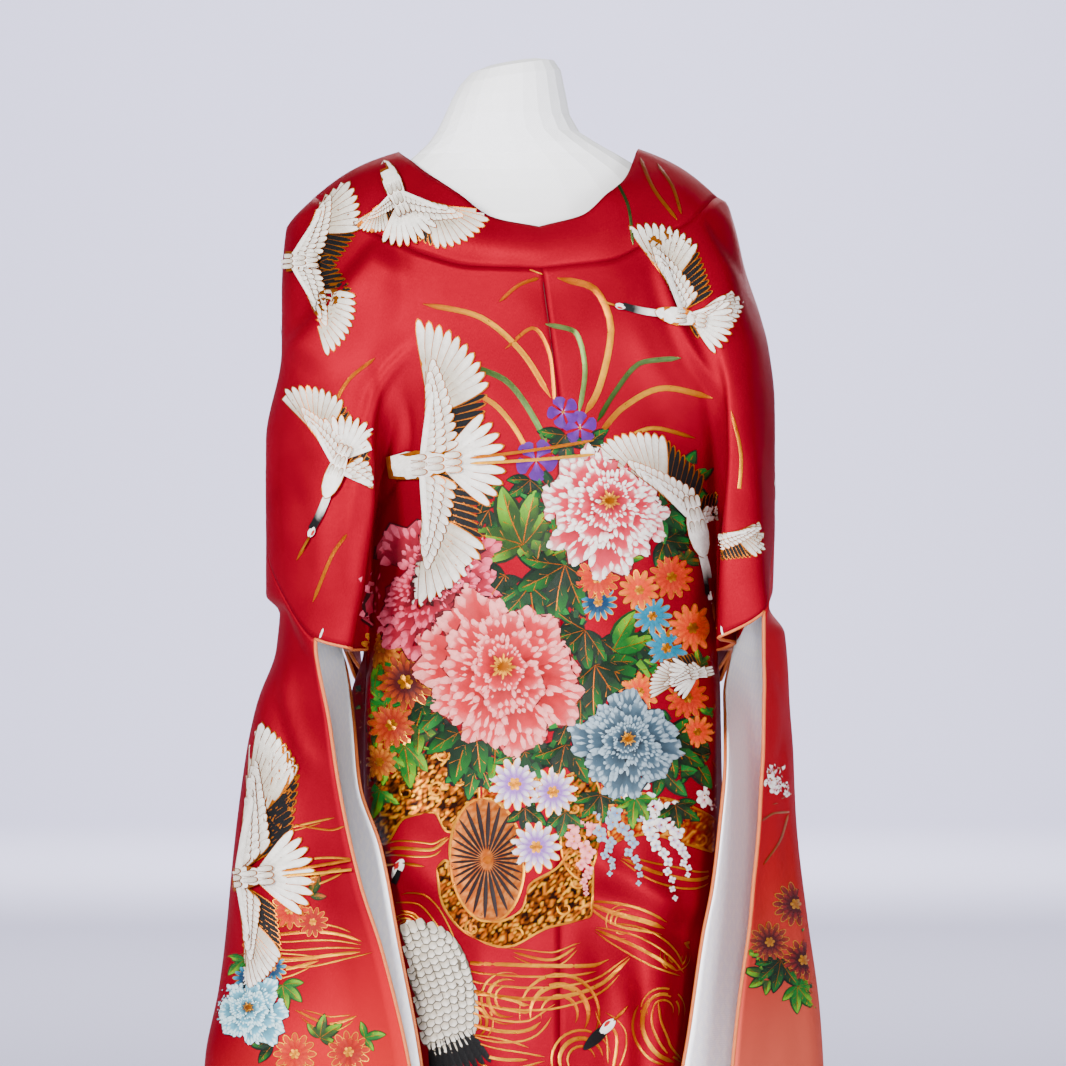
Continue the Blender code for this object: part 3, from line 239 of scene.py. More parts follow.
# Soft folds pressed into the cloth: guide, half width in guides, top z, bottom z, depth, slant per metre
BODY_FOLDS = {
    "left": [(0.45, 0.50, 0.86, 0.02, 0.010, 0.3), (1.35, 0.45, 0.80, 0.02, -0.012, 0.2),
             (2.20, 0.40, 0.70, 0.02, 0.010, 0.0), (14.4, 0.35, 0.95, 0.02, 0.010, 0.0),
             (15.4, 0.30, 0.70, 0.02, -0.008, 0.0)],
    "right": [(0.55, 0.42, 0.84, 0.02, -0.016, -0.5), (1.10, 0.38, 0.80, 0.02, 0.018, -0.6),
              (1.75, 0.40, 0.72, 0.02, -0.012, -0.4), (2.40, 0.35, 0.60, 0.02, 0.008, 0.0),
              (14.3, 0.35, 0.90, 0.02, -0.010, 0.0), (15.5, 0.30, 0.75, 0.02, 0.008, 0.0)],
}
SLEEVE_FOLDS = {
    "left": [(6.75, 0.35, 0.98, 0.20, 0.007, -0.5), (7.45, 0.35, 0.90, 0.20, -0.008, 0.2)],
    "right": [(6.60, 0.30, 0.95, 0.20, -0.006, 0.3), (7.40, 0.35, 0.90, 0.20, 0.008, -0.2)],
}
# The near layer that laps over the shoulder: a line from the collar seam to the outline, and its height
SHOULDER_LAP = {
    "left": ((-0.150, 1.412), (-0.254, 1.296), 0.011),
    "right": ((0.163, 1.432), (0.226, 1.338), 0.007),
}
# Inner edge of the collar beside guides 0 to 15 and at its end: x, y, z in millimetres
COLLAR_EDGE = {
    "left": [(4, -123, 1418), (-43, -117, 1429), (-72, -106, 1450), (-83, -96, 1458), (-96, -82, 1467),
         (-110, -63, 1477), (-124, -40, 1489), (-133, -20, 1496), (-137, 2, 1500), (-135, 24, 1494),
         (-130, 47, 1478), (-121, 72, 1450), (-112, 94, 1420), (-101, 114, 1385), (-80, 132, 1330),
         (-45, 152, 1110), (-40, 150, 820)],
    "right": [(4, -123, 1418), (47, -117, 1430), (70, -106, 1451), (80, -97, 1459), (88, -84, 1467),
         (94, -65, 1478), (99, -40, 1492), (102, -20, 1500), (104, 2, 1502.5), (103, 24, 1497),
         (100, 47, 1482), (98, 72, 1455), (95, 94, 1425), (92, 114, 1388), (84, 132, 1330), (65, 152, 1110),
         (70, 150, 820)],
}


def smooth(table, at):
    """The columns of a table at the values `at`, on a curve that never overshoots its rows."""
    rows = np.array(sorted(table))
    key, values = rows[:, 0], rows[:, 1:]
    at = np.clip(at, key[0], key[-1])
    step = np.diff(key)[:, None]
    rise = np.diff(values, axis=0) / step
    slope = np.zeros_like(values)
    same = rise[1:] * rise[:-1] > 0
    weight = step[1:] + step[:-1]
    first, second = step[1:] + weight, step[:-1] + weight
    safe = np.where(same, rise[1:], 1.0), np.where(same, rise[:-1], 1.0)
    slope[1:-1] = np.where(same, (first + second) / (second / safe[0] + first / safe[1]), 0.0)
    slope[0], slope[-1] = rise[0], rise[-1]
    i = np.clip(np.searchsorted(key, at, side="right") - 1, 0, len(key) - 2)
    h = step[i]
    t = (at - key[i])[:, None] / h
    return (values[i] * (1 + 2 * t) * (1 - t) ** 2 + slope[i] * h * t * (1 - t) ** 2
            + values[i + 1] * t * t * (3 - 2 * t) - slope[i + 1] * h * t * t * (1 - t))


def ease(value):
    """A soft step from 0 to 1."""
    value = np.clip(value, 0.0, 1.0)
    return value * value * (3.0 - 2.0 * value)


def through(points, local):
    """A centripetal curve through the middle two of four neighbouring points, at local 0 to 1."""
    p0, p1, p2, p3 = points
    knots = [np.zeros(len(p0))]
    for a, b in ((p0, p1), (p1, p2), (p2, p3)):
        knots.append(knots[-1] + np.maximum(np.linalg.norm(b - a, axis=1), 1e-6) ** 0.5)
    k0, k1, k2, k3 = (k[:, None] for k in knots)
    t = k1 + local[:, None] * (k2 - k1)
    a1 = ((k1 - t) * p0 + (t - k0) * p1) / (k1 - k0)
    a2 = ((k2 - t) * p1 + (t - k1) * p2) / (k2 - k1)
    a3 = ((k3 - t) * p2 + (t - k2) * p3) / (k3 - k2)
    b1 = ((k2 - t) * a1 + (t - k0) * a2) / (k2 - k0)
    b2 = ((k3 - t) * a2 + (t - k1) * a3) / (k3 - k1)
    return ((k2 - t) * b1 + (t - k1) * b2) / (k2 - k1)


def across(lines, guide):
    """Points at the given guide numbers, where lines[g] holds guide g at the same heights."""
    stacked = np.array([lines[g] for g in range(-1, 18)])
    low = np.clip(np.floor(guide), 0, 15).astype(int)
    each = np.arange(len(guide))
    return through([stacked[low + shift, each] for shift in range(4)], guide - low)


def fold_push(folds, guide, z):
    """How far the soft folds carry the cloth off its hang."""
    push = np.zeros(len(z))
    for at, half, top, bottom, depth, slant in folds:
        middle = at + slant * (top - z)
        side = np.clip(np.abs(guide - middle) / half, 0.0, 1.0)
        fade = ease((top - z) / 0.16) * ease((z - bottom) / 0.10)
        push += depth * fade * (0.5 + 0.5 * np.cos(np.pi * side))
    return push


def metres(rows):
    """Rows of a table in millimetres, turned into metres."""
    return [tuple(value / 1000 for value in row) for row in rows]


class Side:
    """One side of the robe: the surfaces that its cloth is laid on."""

    def __init__(self, name, guides, sleeve):
        self.name = name
        self.sign = -1.0 if name == "left" else 1.0
        self.guides = {g: metres(rows) for g, rows in guides.items()}
        self.sleeve = {g: metres(rows) for g, rows in sleeve.items()}
        self.other = None

    def heights(self, table, guide):
        """The height that a table gives for each guide, with the step up at the collar's end."""
        rows = [(g, z / 1000) for g, z in enumerate(table[self.name])]
        rows.append((collar_end, rows[-1][1] + 0.004))
        return smooth(rows, guide)[:, 0]

    def hang(self, guide, z):
        """The hanging cloth at height z, with its lap at the shoulder and its soft folds."""
        lines = {g: smooth(table, z) for g, table in self.guides.items()}
        lines[-1] = smooth(self.other.guides[MID], z)
        lines[17] = 2 * lines[EDGE] - lines[OKUMI]
        xy = across(lines, guide)
        (x0, z0), (x1, z1), height = SHOULDER_LAP[self.name]
        length = np.hypot(x1 - x0, z1 - z0)
        off = ((xy[:, 0] - x0) * (z1 - z0) - (z - z0) * (x1 - x0)) / length * self.sign
        along = ((xy[:, 0] - x0) * (x1 - x0) + (z - z0) * (z1 - z0)) / length ** 2
        lap = height * ease(0.5 + off / 0.010) * ease(1.0 - (off - 0.008) / 0.06)
        lap *= ease((along + 0.02) / 0.2) * (1 - ease((along - 0.85) / 0.2)) * (guide < 8)
        push = fold_push(BODY_FOLDS[self.name], guide, z)
        xy[:, 1] += np.where(guide < 8, -1.0, 1.0) * push - lap
        return np.column_stack([xy, z])

    def body(self, guide, row):
        """row 0 at the collar seam, 1 at the armhole line, 2 where it turns, 3 at the hem on the floor."""
        top, arm = self.heights(COLLAR_SEAM_Z, guide), self.heights(ARMHOLE_Z, guide)
        z = np.where(row < 1, top + row * (arm - top), arm + np.clip(row - 1, 0, 1) * (turn_z - arm))
        point = self.hang(guide, z)
        laid = row > 2
        if laid.any():
            q = (row[laid] - 2)[:, None]
            start = point[laid]
            hem = {g: np.array([xy] * laid.sum()) / 1000 for g, xy in HEM[self.name].items()}
            hem[-1] = np.array([HEM[self.other.name][MID]] * laid.sum()) / 1000
            hem[17] = 2 * hem[EDGE] - hem[OKUMI]
            for g in range(RIDGE, FLAP_F):
                hem[g] = hem[FLAP] + (g - FLAP) * 0.02
            end = np.column_stack([across(hem, guide[laid]), np.full(laid.sum(), train_rest_z)])
            down = start * [1, 1, 0] + [0, 0, turn_z * 0.30]
            out = start + 0.22 * (end - start)
            out[:, 2] = train_rest_z + 0.004
            point[laid] = (start * (1 - q) ** 3 + 3 * down * q * (1 - q) ** 2
                           + 3 * out * q * q * (1 - q) + end * q ** 3)
        return point

    def loose_sleeve(self, guide, z):
        """The sleeve's hang at height z, before it is sewn to the armhole and closed below."""
        lines = {g: smooth(table, z) for g, table in self.sleeve.items()}
        lines[RIDGE] = 2 * lines[TACK] - lines[OUTER]
        lines[RIDGE_F] = 2 * lines[TACK_F] - lines[OUTER_F]
        for g in (-1, *range(0, 5), *range(12, 18)):
            lines[g] = lines[RIDGE]
        return across(lines, guide)

    def sleeve_surface(self, guide, row):
        """row 0 at the armhole seam, 1 at the sewn lower end; guide TACK to TACK_F."""
        top = self.heights(ARMHOLE_Z, guide)
        low = smooth([(TACK + g, z) for g, z in enumerate(SLEEVE_END_Z)], guide)[:, 0]
        z = top + row * (low - top)
        xy = self.loose_sleeve(guide, z)
        xy[:, 1] -= fold_push(SLEEVE_FOLDS[self.name], guide, z) * ease((row - 0.02) / 0.1)
        seam = self.hang(guide, z)[:, :2]
        meet = ease(1.0 - row / 0.035)[:, None]
        xy = seam * meet + xy * (1 - meet)
        facing = self.loose_sleeve(16.0 - guide, z)
        near = ease((low + sleeve_close - z) / sleeve_close) * np.abs(guide - TOP) / 2.0
        near = np.clip(near * 1.2, 0.0, 1.0)[:, None]
        half = 0.00228 * near * np.where(guide < TOP, -1.0, 1.0)[:, None]
        xy = xy * (1 - near * 0.5) + facing * near * 0.5 + half * [0.0, 1.0]
        return np.column_stack([xy, z])


left = Side("left", LEFT, LEFT_SLEEVE)
right = Side("right", RIGHT, RIGHT_SLEEVE)
left.other, right.other = right, left

# Creases of the hang in millimetres: a line from x, z to x, z, its half width and its height off the cloth
BACK_CREASES = [
    (-118, 1300, -166, 1215, 6, 4), (-128, 1250, -150, 1150, 5, -5), (118, 1402, 188, 1250, 6, 3.4),
    (96, 1330, 160, 1235, 10, 1.6), (-240, 1330, -205, 1180, 15, 1.8), (-250, 1180, -228, 1060, 12, -1.5),
    (215, 1300, 222, 1130, 12, 1.8), (-160, 1210, -176, 1050, 9, 2.2), (-10, 1372, 30, 1300, 18, -1.6),
    (-95, 1120, -60, 960, 22, 2.2), (75, 1120, 110, 930, 24, -2.2), (-100, 900, -120, 760, 16, 2.4),
    (60, 840, 130, 600, 17, 3.4), (110, 820, 165, 640, 12, -3), (-20, 780, -50, 600, 20, -2.6),
    (5, 930, 12, 640, 16, 1.8), (-120, 640, -150, 420, 20, 3), (150, 560, 190, 330, 18, 3),
    (60, 520, 50, 260, 24, -3), (-60, 500, -75, 240, 22, 2.6), (40, 812, 165, 742, 15, 6.5),
    (48, 768, 160, 700, 14, -5.5), (82, 705, 70, 520, 16, -6), (128, 690, 118, 540, 15, 5),
    (-150, 838, -70, 752, 16, 4.5), (-140, 740, -60, 690, 15, -4), (-40, 700, -10, 540, 17, 4.5),
    (20, 700, 30, 560, 14, -3.5),
]
FRONT_CREASES = [
    (-150, 1280, -180, 1120, 10, 2.4), (150, 1290, 186, 1130, 11, 2.2), (-100, 1240, -130, 1020, 14, -2),
    (112, 1200, 125, 980, 15, 2), (-90, 900, -120, 620, 18, 2.6), (110, 840, 130, 560, 17, -2.6),
    (-140, 560, -165, 280, 20, 3), (150, 520, 165, 260, 20, 2.8), (80, 640, 75, 360, 16, 2.2),
    (-70, 500, -85, 240, 18, -2.4),
]
SLEEVE_CREASES = [
    (-245, 985, -215, 880, 8, 2.8), (-262, 960, -250, 840, 9, -2.4), (-285, 860, -268, 640, 13, 2.4),
    (-225, 800, -190, 560, 16, -2.4), (-270, 560, -250, 340, 17, 2.6), (-180, 520, -160, 300, 18, 2.2),
    (236, 990, 240, 880, 7, -2.4), (246, 900, 262, 700, 11, 2.2), (222, 780, 228, 560, 13, -2.2),
    (255, 520, 262, 320, 16, 2.4), (200, 500, 190, 280, 15, 2.2),
]


def crease_push(creases, point):
    """How far the cloth stands off its surface: the placed creases and a faint unevenness."""
    x, y, z = point.T
    push = 0.0006 * np.sin(21 * x + 9 * z) * np.sin(13 * z - 7 * y + 1.0)
    push += 0.0004 * np.sin(52 * x - 17 * z + 30 * y) * np.sin(11 * z + 2.0)
    for x0, z0, x1, z1, width, height in metres(creases):
        length = np.hypot(x1 - x0, z1 - z0)
        along = ((x - x0) * (x1 - x0) + (z - z0) * (z1 - z0)) / length ** 2
        bend = 0.012 * np.sin(np.pi * np.clip(along, 0, 1)) * np.sign(height)
        off = ((x - x0) * (z1 - z0) - (z - z0) * (x1 - x0)) / length - bend
        side = np.exp(-(off / width) ** 2) - 0.35 * np.exp(-((off - 2 * width) / (1.3 * width)) ** 2)
        push += height * side * ease((along + 0.1) / 0.35) * ease((1.1 - along) / 0.35)
    return push


def spaced(*stops):
    """Values from a chain of (start, end, steps), each joined to the next."""
    return np.concatenate([np.linspace(a, b, n, endpoint=False) for a, b, n in stops] + [[stops[-1][1]]])


def placed(name, mesh, *looks):
    """Links a finished mesh as one piece of the robe."""
    mesh.shade_smooth()
    for look in looks:
        mesh.materials.append(look)
    piece = bpy.data.objects.new(name, mesh)
    bpy.context.scene.collection.objects.link(piece)
    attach(piece, "root")
    return piece


shell_points, shell_faces = [], []  # the robe's outer faces, which the embroidery is worked on
laid_grids = {}  # each panel's points, for the piping and stitches along its edges


def cloth_panel(name, surface, guides, rows, sign, creases, looks, cut=None, thickness=cloth_thickness,
                inward=0.0, shell=True):
    """One woven panel: a grid laid on its surface, creased along its normals and given its thickness."""
    sheet = bmesh.new()
    wide, tall = len(guides) - 1, len(rows) - 1
    bmesh.ops.create_grid(sheet, x_segments=wide, y_segments=tall, size=1.0)
    g, r = np.meshgrid(guides, rows, indexing="ij")
    point = surface(g.ravel(), r.ravel()).reshape(wide + 1, tall + 1, 3)
    normal = np.cross(np.gradient(point, axis=1), np.gradient(point, axis=0)) * sign
    normal /= np.maximum(np.linalg.norm(normal, axis=2, keepdims=True), 1e-12)
    calm = ease(np.abs(g - TOP) / 0.8) * (1 if creases is SLEEVE_CREASES else ease(r / 0.06))
    push = crease_push(creases, point.reshape(-1, 3)).reshape(g.shape) * calm
    point = point + normal * (push - inward)[..., None]
    laid_grids[name] = point
    if cut is not None:
        gone = []
        for face in sheet.faces:
            middle = face.calc_center_median()
            at = (int((middle.x + 1) / 2 * wide), int((middle.y + 1) / 2 * tall))
            if cut(guides[at[0]], rows[at[1]], point[at]):
                gone.append(face)
        bmesh.ops.delete(sheet, geom=gone, context="FACES")
    mesh = bpy.data.meshes.new(name)
    sheet.to_mesh(mesh)
    sheet.free()
    flat = np.empty(len(mesh.vertices) * 3, np.float32)
    mesh.vertices.foreach_get("co", flat)
    i = np.rint((flat[0::3] + 1) / 2 * wide).astype(int)
    j = np.rint((flat[1::3] + 1) / 2 * tall).astype(int)
    mesh.vertices.foreach_set("co", point[i, j].astype(np.float32).ravel())
    step_u = np.linalg.norm(np.diff(point, axis=0), axis=2)
    step_v = np.linalg.norm(np.diff(point, axis=1), axis=2)
    u = np.concatenate([np.zeros((1, tall + 1)), np.cumsum(step_u, axis=0)])
    v = np.concatenate([np.zeros((wide + 1, 1)), np.cumsum(step_v, axis=1)], axis=1)
    corner = np.empty(len(mesh.loops), np.int32)
    mesh.loops.foreach_get("vertex_index", corner)
    cloth_uv = np.column_stack([u[i, j], v[i, j]])[corner]
    mesh.uv_layers.new(name="cloth").data.foreach_set("uv", cloth_uv.astype(np.float32).ravel())
    if sign > 0:
        mesh.flip_normals()
    if shell:
        base = sum(len(points) for points in shell_points)
        shell_points.append(point[i, j] + normal[i, j] * thickness / 2)
        shell_faces.extend([[base + k for k in face.vertices] for face in mesh.polygons])
    panel = placed(name, mesh, *looks)
    wall = panel.modifiers.new("thickness", "SOLIDIFY")
    wall.thickness = thickness
    wall.offset = 0.0
    wall.material_offset = len(looks) - 1
    return panel


class Socket:
    """One output of a shader node, so that a finish can be written as plain sums."""

    def __init__(self, tree, output=None):
        self.tree = tree
        self.output = output

    def put(self, kind, inputs, output=0, **settings):
        node = self.tree.nodes.new(kind)
        for key, value in settings.items():
            setattr(node, key, value)
        for key, value in inputs.items():
            if isinstance(value, Socket):
                self.tree.links.new(value.output, node.inputs[key])
            else:
                node.inputs[key].default_value = value
        return Socket(self.tree, node.outputs[output])

    def math(self, operation, *others):
        return self.put("ShaderNodeMath", dict(enumerate((self, *others))), operation=operation)

    def noise(self, scale, detail=2.0):
        return self.put("ShaderNodeTexNoise", {"Vector": self, "Scale": scale, "Detail": detail})

    def parts(self):
        """Its x, y and z."""
        split = self.put("ShaderNodeSeparateXYZ", {0: self}).output.node
        return [Socket(self.tree, part) for part in split.outputs]

    def step(self, low, high):
        return self.put("ShaderNodeMapRange", {0: self, 1: low, 2: high}, interpolation_type="SMOOTHSTEP")

    def mix(self, first, second):
        """first where this is 0, second where it is 1."""
        return self.put("ShaderNodeMix", {0: self, 6: first, 7: second}, output=2, data_type="RGBA")

    def __add__(self, other):
        return self.math("ADD", other)

    def __sub__(self, other):
        return self.math("SUBTRACT", other)

    def __rsub__(self, other):
        return self.put("ShaderNodeMath", {0: other, 1: self}, operation="SUBTRACT")

    def __mul__(self, other):
        return self.math("MULTIPLY", other)

    __radd__ = __add__
    __rmul__ = __mul__


def new_look(name, **constants):
    """A finish, its shader, a starting socket and the place on the robe; constants sit on the shader."""
    look = bpy.data.materials.new(name)
    look.use_nodes = True
    shader = look.node_tree.nodes["Principled BSDF"]
    for key, value in constants.items():
        shader.inputs[key.replace("_", " ")].default_value = value
    start = Socket(look.node_tree)
    return look, shader, start, start.put("ShaderNodeTexCoord", {}, output=3)


def join(look, shader, colour, roughness, height, strength, reach):
    """Feeds the shader its colour, roughness and relief."""
    bump = Socket(look.node_tree).put("ShaderNodeBump", {"Strength": strength, "Distance": reach,
                                                         "Height": height})
    for key, value in (("Base Color", colour), ("Roughness", roughness), ("Normal", bump)):
        look.node_tree.links.new(value.output, shader.inputs[key])


def satin_look(name, deep, bright, fade=None):
    """Silk satin: long floats across the cloth, a fine twill of ribs and a slightly uneven dye."""
    look, shader, start, place = new_look(name, Metallic=0.4, Specular_IOR_Level=0.04,
                                          Specular_Tint=(0.55, 0.0, 0.02, 1.0), Anisotropic=0.45)
    uv = start.put("ShaderNodeUVMap", {}, uv_map="cloth")
    u, v, _ = uv.parts()
    ribs = (u * 5200.0 + v * 2600.0).math("SINE")
    floats = start.put("ShaderNodeTexNoise", {"Vector": start.put(
        "ShaderNodeVectorMath", {0: uv, 1: (2600.0, 420.0, 1.0)}, operation="MULTIPLY"), "Scale": 1.0,
        "Detail": 2.0}, noise_dimensions="2D")
    grain = place.noise(260.0)
    tone = place.noise(9.0, 3.0).step(0.35, 0.65) * 0.5 + floats.step(0.3, 0.7) * 0.35 + ribs * 0.06
    colour = tone.mix((*deep, 1.0), (*bright, 1.0))
    if fade is not None:
        x, _, z = place.parts()
        for top, bottom, lean, tint, amount in fade:
            colour = ((z + x * lean).step(top, bottom) * amount).mix(colour, (*tint, 1.0))
    roughness = 0.40 + grain * 0.10
    join(look, shader, colour, roughness, floats * 0.7 + ribs * 0.3 + grain * 0.5, 0.22, 0.0006)
    return look


red_satin = satin_look("red_satin", (0.132, 0.0, 0.0056), (0.212, 0.0002, 0.0096))
red_lining = satin_look("red_lining", (0.070, 0.0, 0.0035), (0.105, 0.0, 0.0055))
ARM_ROWS = spaced((0.0, 1.0, 64))[:-1]
BODY_ROWS = np.concatenate([ARM_ROWS, spaced((1.0, 2.0, 128), (2.0, 3.0, 56))])
for side in (left, right):
    back = cloth_panel(
        f"robe_back_{side.name}", side.body,
        spaced((0, 1, 14), (1, 2, 13), (2, 3, 10), (3, 4, 5), (4, 5, 7), (5, 6, 9), (6, 7, 11), (7, 8, 13)),
        BODY_ROWS, side.sign, BACK_CREASES, (red_satin, red_lining),
        cut=lambda guide, row, at: guide >= VALLEY and row >= 1.0)
    front = cloth_panel(
        f"robe_front_{side.name}", side.body,
        spaced((8, 9, 12), (9, 10, 11), (10, 11, 7), (11, 12, 5), (12, 13, 5), (13, 14, 8), (14, 15, 10)),
        BODY_ROWS, side.sign, FRONT_CREASES, (red_satin, red_lining),
        cut=lambda guide, row, at: guide < VALLEY_F and row >= 1.0)
    overlap = cloth_panel(
        f"robe_overlap_{side.name}", side.body, spaced((15, 15.3, 4), (15.3, 16, 8)),
        BODY_ROWS, side.sign, FRONT_CREASES, (red_satin, red_lining))
    for panel, node, flat, area in ((back, "body_back", (0.34, 1.90), None),
                                    (front, "body_front", (0.24, 1.75), 0.30),
                                    (overlap, "okumi", (0.15, 1.30), 0.085)):
        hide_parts(f"{node}_{side.name}")

# ---- The collar: one folded band of the same brocade, turned over along its inner edge and sewn to the
# neckline and down both front edges. Past guide 15.3 its end runs on to the top of the overlap.


def collar_band(guide, step):
    half = []
    on = np.clip((np.abs(guide) - collar_end) / 0.7, 0, 1)[:, None]
    guide = np.clip(guide, -collar_end, collar_end)
    for side in (left, right):
        seam = side.body(np.abs(guide), np.zeros(len(guide)))
        rows = [(min(g, collar_end), *at) for g, at in enumerate(metres(COLLAR_EDGE[side.name]))]
        edge = smooth(rows, np.abs(guide))
        tiny = np.full(len(guide), 0.01)
        along = side.body(np.minimum(np.abs(guide) + tiny, collar_end), tiny * 0) - side.body(
            np.maximum(np.abs(guide) - tiny, 0), tiny * 0)
        bulge = np.cross(along, edge - seam) * side.sign
        bulge /= np.linalg.norm(bulge, axis=1)[:, None]
        swell = 0.006 * np.sin(np.pi * np.clip(step, 0, 1))[:, None]
        band = seam + (edge - seam) * step[:, None] + bulge * swell
        half.append(band + (side.body(collar_end + 0.7 * step, tiny * 0) - band) * on)
    return np.where((guide < 0)[:, None], half[0], half[1])


collar_guides = spaced((0, 3, 30), (3, 6, 20), (6, 10, 48), (10, 14, 36), (14, 15, 26), (15, collar_end, 36),
                       (collar_end, 16, 5))
collar_guides = np.concatenate([-collar_guides[:0:-1], collar_guides])
collar = cloth_panel("robe_collar", collar_band, collar_guides, spaced((0.0, 1.0, 14)), -1.0,
                     [], (red_satin, red_lining))
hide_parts("collar")

# ---- The sleeves: deep furisode sleeves, each a doubled width of brocade sewn down its outer fold but for
# the hand slit, with a white figured lining that shows along the open inner edge, and orange piping.
sleeve_fade = [(0.95, 0.80, -1.0, (0.32, 0.003, 0.010), 0.8),
               (0.76, 0.62, -0.45, (0.30, 0.012, 0.010), 0.75),
               (0.68, 0.46, -0.45, (0.44, 0.075, 0.045), 0.85)]
sleeve_satin = satin_look("sleeve_satin", (0.132, 0.0, 0.0056), (0.212, 0.0002, 0.0096), sleeve_fade)


def lining_look():
    """White rinzu silk: fine cross ribs and a woven key-fret figure that shows as a change of sheen, set by
    its roughness and also painted into the colour as a lighter tone.
    """
    look, shader, start, place = new_look("white_figured_lining", Specular_IOR_Level=0.5, Sheen_Weight=1.0,
                                          Sheen_Roughness=0.5)
    u, v, _ = start.put("ShaderNodeUVMap", {}, uv_map="cloth").parts()
    size = 0.021
    a, b = (u + v) * (1 / size), (u - v) * (1 / size)
    bars = []
    for first, second, shift in ((a, b, 0.0), (b, a, 0.5)):
        cell, other = (first + shift).math("FRACT"), (second + shift).math("FRACT")
        arm = (cell - 0.5).math("ABSOLUTE")
        bars.append((0.5 - arm).step(0.30, 0.36) * (other - 0.32).step(0.0, 0.04))
    figure = bars[0].math("MAXIMUM", bars[1])
    ribs = (v * 3400.0).math("SINE")
    # The figure's lighter colour is painted sheen; the noise and ribs are the silk's own uneven white.
    tone = figure * 0.65 + place.noise(14.0) * 0.3 + ribs * 0.08 + 0.05
    colour = tone.mix((0.88, 0.90, 0.97, 1.0), (1.0, 1.0, 1.0, 1.0))
    join(look, shader, colour, 0.36 + figure * 0.22, figure * 0.6 + ribs * 0.35, 0.25, 0.0005)
    return look


white_lining = lining_look()
sleeve_rows = spaced((0.0, 0.08, 12), (0.08, 0.92, 104), (0.92, 1.0, 14))
for side in (left, right):
    sleeve = cloth_panel(
        f"sleeve_{side.name}_cloth", side.sleeve_surface,
        spaced((6, 7, 14), (7, 7.7, 10), (7.7, 8.1, 8), (8.1, 9, 12), (9, 10, 12)), sleeve_rows, side.sign,
        SLEEVE_CREASES, (sleeve_satin, sleeve_satin),
        cut=lambda guide, row, at: 7.69 < guide < 8.1 and 0.56 < at[2] < 0.78)
    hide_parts(f"sleeve_{side.name}")
    lining = cloth_panel(
        f"sleeve_{side.name}_lining", side.sleeve_surface, spaced((8.5, 10, 26)),
        spaced((0.012, 0.93, 110)), side.sign, SLEEVE_CREASES, (white_lining, white_lining),
        thickness=0.0012, inward=0.0026, shell=False)
    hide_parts(f"sleeve_lining_{side.name}")

# ---- The hem: a padded roll of the same red satin all round the bottom, caught down by hidden stitches that
# dimple it every few centimetres.
for side in (left, right):
    guide = np.concatenate([np.linspace(0, 3, 120), np.linspace(13.06, 16, 130)])
    end = side.body(guide, np.full(len(guide), 3.0))
    ahead = np.gradient(end, axis=0)
    ahead[0] = (side.sign, 0.0, 0.0)
    out = np.cross(ahead, (0.0, 0.0, side.sign))
    out /= np.linalg.norm(out, axis=1)[:, None]
    roll = bmesh.new()
    around = 20
    bmesh.ops.create_grid(roll, x_segments=len(guide) - 1, y_segments=around, size=1.0)
    run = np.concatenate([[0], np.cumsum(np.linalg.norm(np.diff(end, axis=0), axis=1))])
    stitch = np.exp(-(((run / 0.034) % 1.0 - 0.5) / 0.10) ** 2)
    radius = 0.0086 - 0.0007 * stitch + 0.0002 * np.sin(run * 130)
    middle = end + out * 0.0092
    middle[0, 0] += side.sign * 0.0004
    for vert in roll.verts:
        i = round((vert.co.x + 1) / 2 * (len(guide) - 1))
        turn = (vert.co.y + 1) * np.pi
        pleat = 1 + 0.03 * stitch[i] * np.cos(6 * turn)
        vert.co = middle[i] + pleat * radius[i] * (out[i] * np.cos(turn) + np.array([0, 0, np.sin(turn)]))
        vert.co.z = max(vert.co.z - middle[i, 2] + 0.0088, 0.0002)
    bmesh.ops.remove_doubles(roll, verts=roll.verts, dist=0.00001)
    bmesh.ops.holes_fill(roll, edges=[edge for edge in roll.edges if edge.is_boundary], sides=0)
    bmesh.ops.recalc_face_normals(roll, faces=roll.faces)
    mesh = bpy.data.meshes.new(f"hem_{side.name}")
    roll.to_mesh(mesh)
    roll.free()
    mesh.uv_layers.new(name="cloth")
    hem = placed(f"hem_padding_{side.name}", mesh, red_satin)
    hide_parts(f"hem_roll_{side.name}")

# ---- Piping: a fine cord of orange silk and gold, twisted from two plies and sewn along the open edges of
# the sleeves and under the flaps of the back and front bodies.


def cord(built, path, radius):
    """A round cord of eight sides along a path, added to what is built."""
    path = np.asarray(path)
    ahead = np.gradient(path, axis=0)
    ahead /= np.maximum(np.linalg.norm(ahead, axis=1, keepdims=True), 1e-9)
    side_way = np.cross(ahead, (0.31, 0.11, 0.94))
    side_way /= np.maximum(np.linalg.norm(side_way, axis=1, keepdims=True), 1e-9)
    over = np.cross(ahead, side_way)
    rings = []
    for middle, first, second in zip(path, side_way, over):
        ring = []
        for k in range(8):
            turn = np.pi * k / 4
            ring.append(built.verts.new(middle + radius * (first * np.cos(turn) + second * np.sin(turn))))
        rings.append(ring)
    for before, after in zip(rings, rings[1:]):
        for k in range(8):
            built.faces.new((before[k], before[(k + 1) % 8], after[(k + 1) % 8], after[k]))
    built.faces.new(rings[0][::-1])
    built.faces.new(rings[-1])


def twisted_look(name, first, second, strand, metal):
    """Two plies twisted together, which show as slanting bands."""
    look, shader, _, place = new_look(name, Metallic=metal, Specular_IOR_Level=0.35)
    x, _, z = place.parts()
    twist = ((z + x * 0.8) * strand).math("SINE")
    grain = place.noise(380.0)
    join(look, shader, (twist * 0.35 + grain * 0.7).step(0.0, 0.8).mix((*first, 1.0), (*second, 1.0)),
         0.36 + grain * 0.2, twist, 0.5, 0.0004)
    return look


